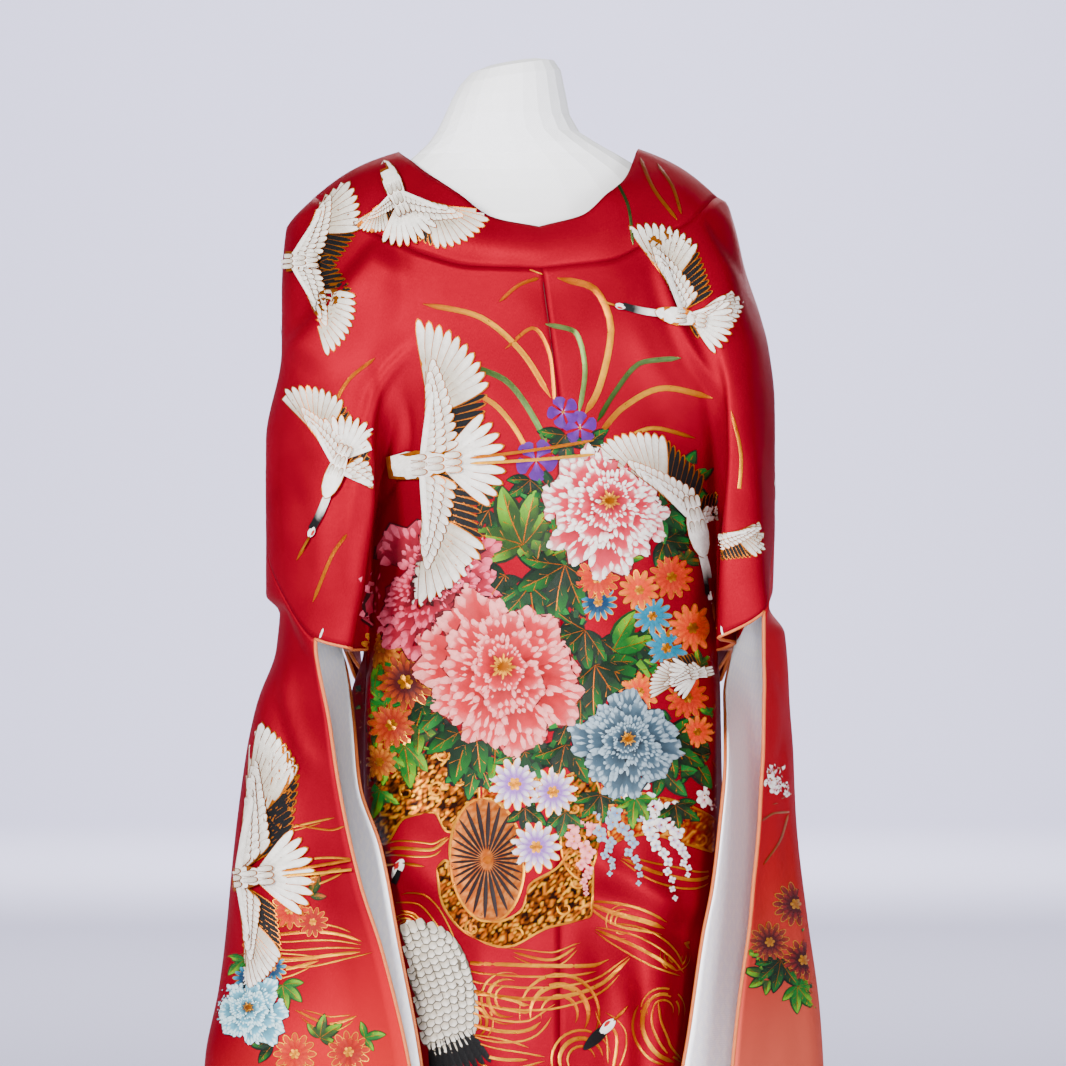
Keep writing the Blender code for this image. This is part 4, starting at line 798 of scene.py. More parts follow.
cord_radius = 0.0019
orange_cord = twisted_look("orange_cord", (0.36, 0.045, 0.012), (0.62, 0.20, 0.045), 2900.0, 0.25)
built = bmesh.new()
for side in (left, right):
    for edge in (0, -1):
        cord(built, laid_grids[f"sleeve_{side.name}_cloth"][edge], cord_radius)
for side in (left, right):
    cord(built, laid_grids[f"robe_back_{side.name}"][37:59, 64], cord_radius)
for side in (left, right):
    cord(built, laid_grids[f"robe_front_{side.name}"][23:41, 64], cord_radius)
mesh = bpy.data.meshes.new("piping")
built.to_mesh(mesh)
built.free()
placed("piping", mesh, orange_cord)

# ---- The dress form and its stand: a padded torso without limbs, covered in white cotton jersey that is
# pulled smooth over it, on a turned steel pole and a round steel base, both sprayed satin white.
jersey, shader, _, place = new_look("white_jersey", Specular_IOR_Level=0.25, Sheen_Weight=0.25,
                                    Sheen_Roughness=0.5)
x, _, z = place.parts()
wales = (x * 3600.0).math("SINE") * (z * 2600.0).math("SINE")
wool, tone = place.noise(420.0, 3.0), place.noise(11.0)
join(jersey, shader, (tone * 0.6 + wool * 0.3).mix((0.70, 0.70, 0.71, 1.0), (0.82, 0.82, 0.82, 1.0)),
     0.72 + wool * 0.12, wales * 0.5 + wool * 0.6, 0.35, 0.0006)

steel, shader, _, place = new_look("white_steel", Specular_IOR_Level=0.5)
spray, rub = place.noise(900.0), place.noise(16.0, 4.0)
join(steel, shader, rub.step(0.4, 0.7).mix((0.62, 0.62, 0.63, 1.0), (0.70, 0.70, 0.71, 1.0)),
     0.30 + rub * 0.18, spray, 0.10, 0.0003)
for node, look in (("dress_form", jersey), ("stand_base", steel), ("stand_pole", steel)):
    bpy.data.objects[node].data.materials.clear()
    bpy.data.objects[node].data.materials.append(look)

# ---- The embroidery: silk and gold threads worked in relief over the brocade, motif by motif. Every
# petal, feather and leaf is its own small crowned blade of satin stitches, laid onto the robe's face.
robe_tree = BVHTree.FromPolygons(np.concatenate(shell_points).tolist(), shell_faces)
rng = np.random.default_rng(11)


def dye(code):
    """A thread's colour from its code on the dyer's card, as linear light."""
    value = np.array([int(code[k:k + 2], 16) for k in (0, 2, 4)]) / 255.0
    light = np.where(value <= 0.04045, value / 12.92, ((value + 0.055) / 1.055) ** 2.4)
    return light ** 1.7  # dyed silk is deeper than the printed card


def blade_grid(long, wide):
    """The template of a blade: s along it, t across it from -1 to 1, and its faces."""
    grid = bmesh.new()
    bmesh.ops.create_grid(grid, x_segments=long, y_segments=wide, size=1.0)
    flat = np.array([vert.co[:2] for vert in grid.verts])
    quads = np.array([[vert.index for vert in face.verts] for face in grid.faces])
    grid.free()
    return 0.5 - 0.5 * np.cos(np.pi * (flat[:, 0] + 1) / 2), flat[:, 1], quads


covered = np.zeros((1400, 1700), bool)  # the back in millimetres, where a motif already lies on top
pending = {"place": None, "cells": []}


def overlaid(place, flat, quads):
    """Which quads lie under motifs worked before this one; the topmost motifs are worked first."""
    if pending["place"] is not place:
        if pending["cells"]:
            stamp = np.zeros(covered.shape, bool)
            cells = np.concatenate(pending["cells"])
            stamp[cells[:, 0], cells[:, 1]] = True
            for keep in (np.logical_or, np.logical_or, np.logical_and, np.logical_and, np.logical_and):
                inner = stamp[1:-1, 1:-1]
                for near in (stamp[:-2, 1:-1], stamp[2:, 1:-1], stamp[1:-1, :-2], stamp[1:-1, 2:]):
                    inner = keep(inner, near)
                stamp[1:-1, 1:-1] = inner
            covered[stamp] = True
        pending.update(place=place, cells=[])
    spots = place.spots(flat)[quads]
    middle = spots.mean(axis=1)
    for a in (0.1, 0.3, 0.5, 0.7, 0.9):
        for b in (0.1, 0.3, 0.5, 0.7, 0.9):
            mixed = ((spots[:, 0] * (1 - a) + spots[:, 1] * a) * (1 - b)
                     + (spots[:, 3] * (1 - a) + spots[:, 2] * a) * b)
            pending["cells"].append(cell_of(mixed))
    cell = cell_of(middle)
    return covered[cell[:, 0], cell[:, 1]]


def cell_of(spots):
    """The cell of the covered map at each spot."""
    return np.clip(((spots + [0.7, 0.0]) * 1000).astype(int), 0, [1399, 1699])


PLY = 0.00015  # how far each layer of stitches stands off the one below it
FEATHER, PETAL, BUD, LINE = blade_grid(8, 2), blade_grid(7, 6), blade_grid(4, 2), blade_grid(26, 2)


def seen(x, z, turn=0.0, inside=(-1.0, 1.0), slope=0.0):
    """A place on the back as seen from behind: x, z, a turn in degrees and the span of x that it keeps to,
    which leans by the slope below the elbow."""
    c, s = np.cos(np.radians(turn)), np.sin(np.radians(turn))

    def spots(flat):
        a, b = flat.T
        return np.column_stack([x + c * a - s * b, z + s * a + c * b])

    def rays(flat):
        px, pz = spots(flat).T
        way = np.column_stack([px, np.full(len(px), picture_y), pz]) - eye
        at = px - slope * (0.8 - pz)
        keep = (at > inside[0]) & (at < inside[1])
        return np.broadcast_to(eye, way.shape), way, keep

    rays.spots = spots
    return rays


def worn(side, surface, guide, row, turn=0.0, flip=1):
    """A place on the cloth itself, for the sides that are not seen from behind."""
    at = surface(np.array([guide, guide + 0.05, guide]), np.array([row, row, row + 0.01]))
    down = at[2] - at[0]
    out = np.cross(down, at[1] - at[0]) * side.sign
    out /= np.linalg.norm(out)
    up = -down / np.linalg.norm(down)
    right_hand = np.cross(up, out)
    c, s = np.cos(np.radians(turn)), np.sin(np.radians(turn))

    def rays(flat):
        a, b = flat[:, 0], flat[:, 1] * flip
        start = at[0] + out * 0.05 + np.outer(c * a - s * b, right_hand) + np.outer(s * a + c * b, up)
        return start, np.broadcast_to(-out, start.shape), np.ones(len(a), bool)

    rays.spots = None
    return rays


class Threadwork:
    """Blades of stitches worked onto the robe, gathered into one piece."""

    def __init__(self):
        self.points, self.quads, self.tints, self.threads = [], [], [], []
        self.count = 0

    def work(self, place, flat, quads, tint, thread, lift):
        """Lays flat stitches on the robe's face, each point raised by its lift, and leaves out torn ones."""
        starts, ways, keep = place(flat)
        point, reach = np.zeros((len(flat), 3)), np.full(len(flat), np.nan)
        for k in np.nonzero(keep)[0]:
            spot, normal, face, distance = robe_tree.ray_cast(Vector(starts[k]), Vector(ways[k]))
            if spot is not None:
                facing = -1.0 if normal.dot(Vector(ways[k])) > 0 else 1.0
                point[k] = spot + normal * (facing * lift[k])
                reach[k] = distance
        spread = reach[quads].max(axis=1) - reach[quads].min(axis=1)
        wide = np.linalg.norm(flat[quads[:, 0]] - flat[quads[:, 2]], axis=1)
        fine = spread < 0.002 + 1.5 * wide
        if place.spots:
            fine &= ~overlaid(place, flat, quads)
        good = quads[fine]
        if len(good):
            used = np.unique(good)
            new = np.full(len(flat), -1)
            new[used] = np.arange(len(used)) + self.count
            self.points.append(point[used])
            self.quads.append(new[good])
            self.tints.append(tint[used])
            self.threads.append(thread[used])
            self.count += len(used)

    def shade(self, tints, s, t):
        """The thread's tint along a blade, darkened at its sides as painted shade, and a little different
        each time.
        """
        at = np.clip(s + 0.05 * np.sin(9.0 * t + rng.uniform(0, 6)), 0, 1)
        stops = np.linspace(0, 1, len(tints))
        tint = np.column_stack([np.interp(at, stops, [colour[k] for colour in tints]) for k in range(3)])
        # Darkening towards the blade's sides is painted shade on its rounded edges; the random factor is the
        # thread's own variation.
        return tint * (1.0 - 0.16 * t ** 4)[:, None] * rng.uniform(0.93, 1.05)

    def blade(self, place, start, angle, length, width, tints, bend=0.0, form="feather", layer=1,
              crown=0.0004, grid=FEATHER):
        """A blade along an arc from start, at an angle in degrees, turning by bend degrees."""
        s, t, quads = grid
        first, bend = np.radians(angle), np.radians(bend) if abs(bend) > 0.1 else 0.002
        heading = first + bend * s
        centre = np.column_stack([np.sin(heading) - np.sin(first), np.cos(first) - np.cos(heading)])
        centre = np.asarray(start) + centre * length / bend
        half = {"feather": (0.5 + 0.5 * np.sqrt(s)) * np.sqrt(np.clip(1 - s ** 5, 0, 1)),
                "leaf": np.sin(np.pi * s ** 0.85) ** 0.8 + 0.02,
                "drop": np.sqrt(np.clip(np.sin(np.pi * s ** 1.15), 0, 1)),
                "line": np.clip(np.minimum(s, 1 - s) * 12 + 0.25, 0, 1)}[form] * width / 2
        sideways = np.column_stack([-np.sin(heading), np.cos(heading)])
        flat = centre + sideways * (half * t)[:, None]
        lift = PLY + layer * PLY + crown * (1 - t * t) * np.clip(half / (width / 2), 0, 1)
        thread = np.column_stack([half * t, s * length])
        self.work(place, flat, quads, self.shade(tints, s, t), thread, lift)

    def petal(self, place, start, angle, length, spread, tints, layer=1, notch=0.04, crown=0.0009,
              wave=0.0):
        """A broad petal that opens like a fan from its start, with a wavy notched lip."""
        s, t, quads = PETAL
        open_by = np.radians(spread) / 2 * (0.62 + 0.38 * s)
        turn = np.radians(angle) + t * open_by
        lip = 1 - 0.20 * t ** 4 + notch * np.cos(7.0 * t + wave) * s ** 3 + 0.04 * np.sin(3 * t + wave)
        away = np.column_stack([np.cos(turn), np.sin(turn)])
        flat = np.asarray(start) + (length * s * lip)[:, None] * away
        lift = PLY + layer * PLY + crown * (1 - t ** 4) * np.sin(np.pi * np.clip(s, 0, 0.97)) ** 0.5
        thread = np.column_stack([t * length * open_by, s * length])
        self.work(place, flat, quads, self.shade(tints, s * (1 - 0.10 * np.abs(t)), t), thread, lift)

    def ribbon(self, place, path, width, tints, layer=1, crown=0.0004):
        """A long line of couched thread through the points of a path."""
        s, t, quads = LINE
        knots = np.linspace(0, 1, len(path))
        rows = [(knot, *spot) for knot, spot in zip(knots, path)]
        centre, ahead = smooth(rows, s), smooth(rows, np.clip(s + 0.01, 0, 1))
        behind = smooth(rows, np.clip(s - 0.01, 0, 1))
        way = ahead - behind
        way /= np.maximum(np.linalg.norm(way, axis=1, keepdims=True), 1e-9)
        half = width / 2 * np.clip(np.minimum(s, 1 - s) * 10 + 0.15, 0, 1)
        flat = centre + np.column_stack([-way[:, 1], way[:, 0]]) * (half * t)[:, None]
        lift = PLY + layer * PLY + crown * (1 - t * t)
        long = np.linalg.norm(np.diff(np.array(path), axis=0), axis=1).sum()
        self.work(place, flat, quads, self.shade(tints, s, t), np.column_stack([half * t, s * long]), lift)

    def patch(self, place, outline, cell, tints, layer=1, crown=0.0):
        """A filled shape worked in small blocks of thread, each of a tint picked at random."""
        outline = np.array(outline)
        knots = np.linspace(0, 1, len(outline) + 1)
        rows = [(knot, *spot) for knot, spot in zip(knots, np.concatenate([outline, outline[:1]]))]
        edge = smooth(rows, np.linspace(0, 1, 48, endpoint=False))
        low, high = edge.min(axis=0), edge.max(axis=0)
        wide, tall = np.maximum(((high - low) / cell).astype(int), 2)
        grid = bmesh.new()
        bmesh.ops.create_grid(grid, x_segments=int(wide), y_segments=int(tall), size=0.5)
        flat = np.array([vert.co[:2] for vert in grid.verts]) + 0.5
        quads = np.array([[vert.index for vert in face.verts] for face in grid.faces])
        grid.free()
        flat = low + flat * (high - low)
        middle = flat[quads].mean(axis=1)
        ahead = np.roll(edge, -1, axis=0)
        above = (edge[:, 1] > middle[:, 1:]) != (ahead[:, 1] > middle[:, 1:])
        rise = np.where(ahead[:, 1] == edge[:, 1], 1e-9, ahead[:, 1] - edge[:, 1])
        cross = edge[:, 0] + (middle[:, 1:] - edge[:, 1]) * (ahead[:, 0] - edge[:, 0]) / rise
        inside = (above & (middle[:, :1] < cross)).sum(axis=1) % 2 == 1
        tint = np.array(tints)[rng.integers(0, len(tints), len(flat))]
        lift = PLY + layer * PLY + crown * rng.uniform(0, 1, len(flat))
        if inside.any():
            self.work(place, flat, quads[inside], tint, flat, lift)
        return edge

    def sew(self, name, look):
        """Makes the piece and hangs it on the robe."""
        mesh = bpy.data.meshes.new(name)
        mesh.from_pydata(np.concatenate(self.points).tolist(), [], np.concatenate(self.quads).tolist())
        tint = mesh.attributes.new("thread_tint", "FLOAT_COLOR", "POINT")
        tints = np.concatenate(self.tints)
        tint.data.foreach_set("color", np.column_stack([tints, np.ones(len(tints))]).ravel())
        corner = np.empty(len(mesh.loops), np.int32)
        mesh.loops.foreach_get("vertex_index", corner)
        thread_uv = np.concatenate(self.threads)[corner]
        mesh.uv_layers.new(name="thread").data.foreach_set("uv", thread_uv.ravel())
        placed(name, mesh, look)


def thread_look(name, strand, roughness, metal=0.0):
    """Floss laid side by side: its colour is darkened in bands along the strands as painted sheen, and in
    patches by the floss's own unevenness.
    """
    look, shader, start, place = new_look(name, Metallic=metal, Specular_IOR_Level=0.16, Anisotropic=0.5)
    u, v, _ = start.put("ShaderNodeUVMap", {}, uv_map="thread").parts()
    tint = start.put("ShaderNodeVertexColor", {}, layer_name="thread_tint")
    twist, uneven = place.noise(700.0), place.noise(160.0, 3.0)
    strands = ((u * 0.9 + v * 0.42) * strand).math("SINE")
    # Painted sheen: the bands along the strands darken and lighten the tint; the noise terms are real
    # unevenness of the floss.
    shade = (strands * 0.10 + uneven * 0.45 + twist * 0.25).step(0.05, 0.62)
    darker = start.put("ShaderNodeMix", {0: 1.0, 6: tint, 7: (0.62, 0.60, 0.58, 1.0)}, output=2,
                       data_type="RGBA", blend_type="MULTIPLY")
    join(look, shader, shade.mix(darker, tint), roughness + uneven * 0.18, strands * 0.6 + twist * 0.5,
         0.45, 0.0005)
    return look


silk_thread = thread_look("silk_thread", 5200.0, 0.42)
gold_thread = thread_look("gold_thread", 6800.0, 0.22, 0.85)
WHITE, IVORY, GOLD = dye("F0EEE8"), dye("CFC8BA"), dye("D29430")
BLACK, PALE_GOLD, DEEP_GOLD = dye("15161C"), dye("EDBE55"), dye("A0621C")
# SHADE is the grey of the painted shade on the resting crane's scales.
RED_CROWN, SHADE, DIM = dye("C8202A"), dye("A9A6A2"), dye("8A8276")

# ---- Cranes: each feather is a blade of white silk over a slightly wider blade of gold, which shows as its
# outline. The inner flight feathers are black silk, the legs and the beak couched gold thread.


def crane(work, gold, place, size, wings=((98, 1), (-104, 1)), neck=True, legs=True, tail=True,
          fan=1.0):
    """A flying crane that heads along +x: each wing is (its angle, its side's reach), open by fan."""
    for angle, reach in wings:
        k = 1 if angle > 0 else -1
        open_at, far = abs(angle), size * reach
        arm = np.array([np.cos(np.radians(open_at)), k * np.sin(np.radians(open_at))])

        def feather(along, back, length, width, tints, layer, bend=-8):
            root = arm * far * along + np.array([0.02 * size, 0.0])
            turn = k * (open_at + back * fan)
            gold.blade(place, root - arm * 0.004 * far, turn, length * far * 1.03, width * far + 0.0019,
                       (GOLD, GOLD), bend=k * bend, layer=layer - 0.25, crown=0.0)
            work.blade(place, root, turn, length * far, width * far, tints, bend=k * bend, layer=layer,
                       crown=0.00006)

        for i in range(10):
            feather(0.52 - 0.014 * i, -10 + 8.0 * i, 0.60 - 0.010 * i, 0.092, (IVORY, IVORY, WHITE),
                    1 + 0.7 * i)
        for i in range(8):
            feather(0.40 - 0.045 * i, 70 + 2.0 * i, 0.46 - 0.008 * i, 0.055, (BLACK, BLACK, BLACK),
                    1.6 + 0.7 * i, bend=-4)
        for i in range(11):
            feather(0.54 - 0.046 * i, 4 + 6.6 * i, 0.27, 0.072, (IVORY, IVORY, WHITE), 8 + 0.6 * i)
        for i in range(11):
            feather(0.53 - 0.046 * i, 0 + 6.8 * i, 0.185, 0.066, (IVORY, WHITE), 14.5 + 0.55 * i)
        for i in range(10):
            feather(0.52 - 0.048 * i, -4 + 7.0 * i, 0.105, 0.062, (IVORY, WHITE), 20.5 + 0.5 * i)
        work.blade(place, (0.02 * size, 0), k * open_at, far * 0.56, 0.045 * far, (WHITE, WHITE), bend=k * 5,
                   form="line", layer=25.5, crown=0.0002)
    if tail:
        for i in range(9):
            turn = 180 + (i - 4) * 11.5
            gold.blade(place, (-0.12 * size, 0), turn, 0.50 * size, 0.098 * size, (GOLD, GOLD),
                       layer=13.8 - abs(i - 4), crown=0.0)
            work.blade(place, (-0.12 * size, 0), turn, 0.485 * size, 0.086 * size, (IVORY, WHITE, WHITE),
                       layer=14 - abs(i - 4), crown=0.0003)
    gold.blade(place, (-0.26 * size, 0), 0, 0.64 * size, 0.22 * size, (GOLD, GOLD), form="drop", layer=25.8,
               crown=0.0)
    work.blade(place, (-0.25 * size, 0), 0, 0.62 * size, 0.205 * size, (WHITE, WHITE), form="drop",
               layer=26.2, crown=0.0009, grid=PETAL)
    for row in range(3):
        for i in range(3 - row % 2):
            at = ((-0.16 + 0.13 * row) * size, (i - 1 + 0.5 * (row % 2)) * 0.055 * size)
            gold.blade(place, at, 180, 0.125 * size, 0.062 * size, (GOLD, GOLD), layer=31.3, crown=0.0)
            work.blade(place, at, 180, 0.115 * size, 0.052 * size, (WHITE, IVORY), layer=31.8, crown=0.0002)
    if legs:
        for shift, colour in ((0.018, PALE_GOLD), (-0.022, GOLD)):
            gold.blade(place, (-0.34 * size, shift * size), 180 - 100 * shift, 0.95 * size, 0.024 * size,
                       (colour, colour), bend=4, form="line", layer=24, grid=LINE)
    if neck:
        work.blade(place, (0.28 * size, 0.0), 6, 0.50 * size, 0.085 * size, (WHITE, WHITE, BLACK, BLACK),
                   bend=-16, form="line", layer=16, grid=LINE)
        work.blade(place, (0.72 * size, 0.006 * size), -4, 0.13 * size, 0.075 * size, (WHITE, WHITE),
                   form="drop", layer=17.5)
        work.blade(place, (0.75 * size, 0.022 * size), -4, 0.075 * size, 0.03 * size, (RED_CROWN, RED_CROWN),
                   form="drop", layer=19.5)
        gold.blade(place, (0.82 * size, 0.004 * size), -7, 0.22 * size, 0.026 * size, (DEEP_GOLD, PALE_GOLD),
                   form="leaf", layer=18)


def resting_crane(work, place, long, wide):
    """A crane with folded wings: an egg of small outlined scales, grey along one edge and towards the tail
    as painted shade, and black plumes behind.
    """
    scale = wide * 0.105
    for row in range(18):
        along = long * (0.02 + 0.048 * row)
        half = wide / 2 * np.sin(np.pi * (0.03 + 0.97 * (along / long) ** 0.7)) ** 0.75
        count = max(round(2 * half / (scale * 0.92)), 1)
        for i in range(count):
            off = (i - (count - 1) / 2) * 2 * half / count
            lean = 300 * off * (0.45 - along / long)
            # Painted shade: the scales along one edge and in the last rows are grey.
            tint_with_painted_shade = SHADE if off < -0.30 * wide or row > 13 else IVORY
            level = 13 - 0.65 * row + 0.25 * (i % 2)
            work.blade(place, (along, off), lean, long * 0.094, scale * 1.34, (DIM, DIM), layer=level,
                       crown=0.0, grid=BUD)
            work.blade(place, (along, off), lean, long * 0.086, scale * 1.12, (tint_with_painted_shade, IVORY, WHITE),
                       layer=level + 0.2, crown=0.00006, grid=BUD)
    for i in range(9):
        work.blade(place, (long * 0.74, wide * 0.045 * (i - 4)), 4.0 * (i - 4), long * 0.36, wide * 0.10,
                   (BLACK, BLACK, BLACK), layer=1.4)
    work.blade(place, (0, 0), 0, long * 0.98, wide * 0.98, (WHITE, IVORY), form="drop", layer=1, grid=PETAL)


crane_silk, crane_gold = Threadwork(), Threadwork()
for place, long, wide in ((seen(-0.128, 0.730, -70, inside=(-0.150, 1), slope=0.19), 0.150, 0.086),
                          (worn(left, left.body, 0.7, 2.62, 200), 0.17, 0.08),
                          (worn(right, right.body, 2.2, 2.7, -20), 0.17, 0.08)):
    resting_crane(crane_silk, place, long, wide)
for place, beak in ((seen(0.048, 0.600, 44), 0),
                    (seen(-0.152, 0.752, 62, inside=(-0.150, 1), slope=0.19), -72)):
    for start, angle, length, width, tints in (
            ((0, 0), 0, 0.036, 0.012, (BLACK, BLACK)), ((0.022, 0.000), 0, 0.022, 0.010, (WHITE, WHITE)),
            ((0.030, 0.002), 0, 0.010, 0.005, (RED_CROWN, RED_CROWN))):
        crane_silk.blade(place, start, angle, length, width, tints, form="drop", layer=4 + 60 * start[0])
    crane_gold.blade(place, (0.040, 0.0), beak, 0.024, 0.003, (DEEP_GOLD, GOLD), form="leaf", layer=6)
for place, size, options in (
    (seen(-0.108, 1.186, 184, inside=(-0.1500, 1)), 0.130,
     {"wings": ((88, 1.0), (-99, 1.0)), "neck": False}),
    (seen(-0.196, 1.182, 248, inside=(-1, -0.163)), 0.088,
     {"wings": ((84, 1.0), (-128, 1.0)), "legs": False}),
    (seen(0.148, 1.332, 170), 0.082, {"wings": ((-58, 1.15), (-150, 0.75)), "legs": False}),
    (seen(0.158, 1.128, 282, inside=(-1, 0.1835)), 0.098,
     {"wings": ((-146, 1.15), (92, 0.7)), "legs": False, "tail": False, "fan": 0.8}),
    (seen(0.176, 1.112, 100, inside=(0.1835, 1)), 0.062,
     {"wings": ((-90, 1.0),), "legs": False, "neck": False, "tail": False}),
    (seen(-0.138, 1.456, 112), 0.088, {"wings": ((-132, 1.0), (112, 0.55)), "legs": False, "neck": False}),
    (seen(-0.240, 1.388, 182), 0.094,
     {"wings": ((116, 0.95), (-122, 1.0)), "legs": False, "neck": False, "tail": False}),
    (seen(0.168, 0.978, 14, inside=(-1, 0.184)), 0.060,
     {"wings": ((-176, 0.9),), "neck": False, "legs": False}),
    (seen(-0.292, 0.772, 186), 0.120, {"wings": ((92, 0.85), (-104, 1.22)), "neck": False, "fan": 0.6}),
    (worn(left, left.body, 1.3, 2.35, 60), 0.15, {}),
    (worn(right, right.body, 1.5, 2.2, 120), 0.15, {}),
    (worn(right, right.body, 0.9, 1.88, 40), 0.14, {}),
    (worn(left, left.sleeve_surface, 7.2, 0.78, 110), 0.13, {}),
    (worn(right, right.sleeve_surface, 7.1, 0.74, 70, flip=-1), 0.13, {}),
    (worn(left, left.sleeve_surface, 9.1, 0.42, 100), 0.12, {}),
    (worn(right, right.sleeve_surface, 9.0, 0.40, 80, flip=-1), 0.12, {}),
    (worn(left, left.body, 9.6, 0.50, 60), 0.10, {}),
    (worn(right, right.body, 9.6, 0.55, 120), 0.10, {}),
    (worn(left, left.body, 14.5, 1.55, 100), 0.10, {"legs": False}),
    (worn(right, right.body, 14.1, 1.40, 80), 0.10, {"legs": False}),
):
    crane(crane_silk, crane_gold, place, size, **options)
crane_silk.sew("crane_silk", silk_thread)
crane_gold.sew("crane_gold", gold_thread)

# ---- Flowers: peonies, chrysanthemums, daisies and bellflowers in silks that are graded from root to lip,
# petal over petal, with hearts of gold thread.


def peony(silk, gold, place, radius, outer, inner, tip):
    """A full peony: rings of notched petals, deep at the root, each over a darker, slightly larger copy that
    paints shade between the petals, with pale streaks drawn in from each lip.
    """
    for ring, (count, reach, spread) in enumerate((
            (8, 1.0, 62), (7, 0.80, 70), (6, 0.62, 80), (5, 0.45, 92), (5, 0.30, 96))):
        for i in range(count):
            turn = 360 * (i + 0.5 * (ring % 2)) / count + rng.uniform(-14, 14)
            way = np.array([np.cos(np.radians(turn)), np.sin(np.radians(turn))])
            at = way * radius * 0.03 * (4 - ring) + np.array([0.0, 0.03 * ring * radius])
            length = radius * reach * rng.uniform(0.84, 1.12) - radius * 0.03 * (4 - ring)
            wave, notch = rng.uniform(0, 6), rng.uniform(0.05, 0.11)
            layer = 1 + 2.6 * ring + 0.12 * i
            shade = (outer, outer, outer, outer * 0.75 + inner * 0.25, outer * 0.3 + inner * 0.7, inner,
                     inner * 0.5 + tip * 0.5)
            # Painted shade: a darker, slightly larger copy under each petal shows as a dark edge between
            # petals.
            silk.petal(place, at, turn, length * 1.03, spread + 3, (outer * 0.4, outer * 0.4), layer=layer,
                       crown=0.0004, wave=wave, notch=notch)
            silk.petal(place, at, turn, length, spread, shade, layer=layer + 0.6, crown=0.0009, wave=wave,
                       notch=notch)
            for k in range(9):
                lean = (k - 4) / 4.2
                lip = 1 - 0.20 * lean ** 4 + notch * np.cos(7.0 * lean + wave)
                lip += 0.04 * np.sin(3 * lean + wave)
                ray = np.radians(turn + lean * spread / 2)
                end = at + length * lip * np.array([np.cos(ray), np.sin(ray)])
                long = length * rng.uniform(0.14, 0.34)
                silk.blade(place, end, np.degrees(ray) + 180, long, length * spread / 420,
                           (tip, tip, inner), form="drop", layer=layer + 1.6, crown=0.0009, grid=BUD)
    for i in range(16):
        turn = 360 / 16 * i
        gold.blade(place, (0, 0.12 * radius), turn, radius * (0.12 + 0.05 * (i % 2)), radius * 0.045,
                   (DEEP_GOLD, PALE_GOLD), layer=17.0, grid=BUD)
    gold.blade(place, (-radius * 0.08, 0.12 * radius), 0, radius * 0.16, radius * 0.15, (DEEP_GOLD, GOLD),
               form="drop", layer=18.0, grid=BUD)


def daisy(silk, gold, place, radius, count, base, tip, rings):
    """A chrysanthemum or daisy: rings of narrow petals, each with a gold outline."""
    for ring in range(rings):
        reach = radius * (1 - 0.30 * ring)
        for i in range(count):
            turn = 360 * (i + 0.5 * (ring % 2)) / count
            wide = 2 * np.pi * reach * 0.72 / count
            gold.blade(place, (0, 0), turn, reach * 1.04, wide * 1.06, (PALE_GOLD, PALE_GOLD),
                       layer=1 + 1.6 * ring, crown=0.0)
            silk.blade(place, (0, 0), turn, reach, wide * 0.86, (base, base, tip), layer=1.6 + 1.6 * ring)
    for i in range(6):
        gold.blade(place, (0, 0), 60 * i, radius * 0.26, radius * 0.20, (GOLD, PALE_GOLD),
                   layer=2.5 + 1.6 * rings, grid=BUD)


def bellflower(silk, gold, place, radius, base, tip):
    """Five joined petals, pale at the root, each with a gold thread down it."""
    for i in range(5):
        silk.petal(place, (0, 0), 72 * i + 18, radius, 62, (tip, base, base), layer=2 + 0.1 * i, notch=0.0)
        gold.blade(place, (0, 0), 72 * i + 18, radius * 0.5, radius * 0.06, (PALE_GOLD, GOLD), layer=5,
                   grid=BUD)


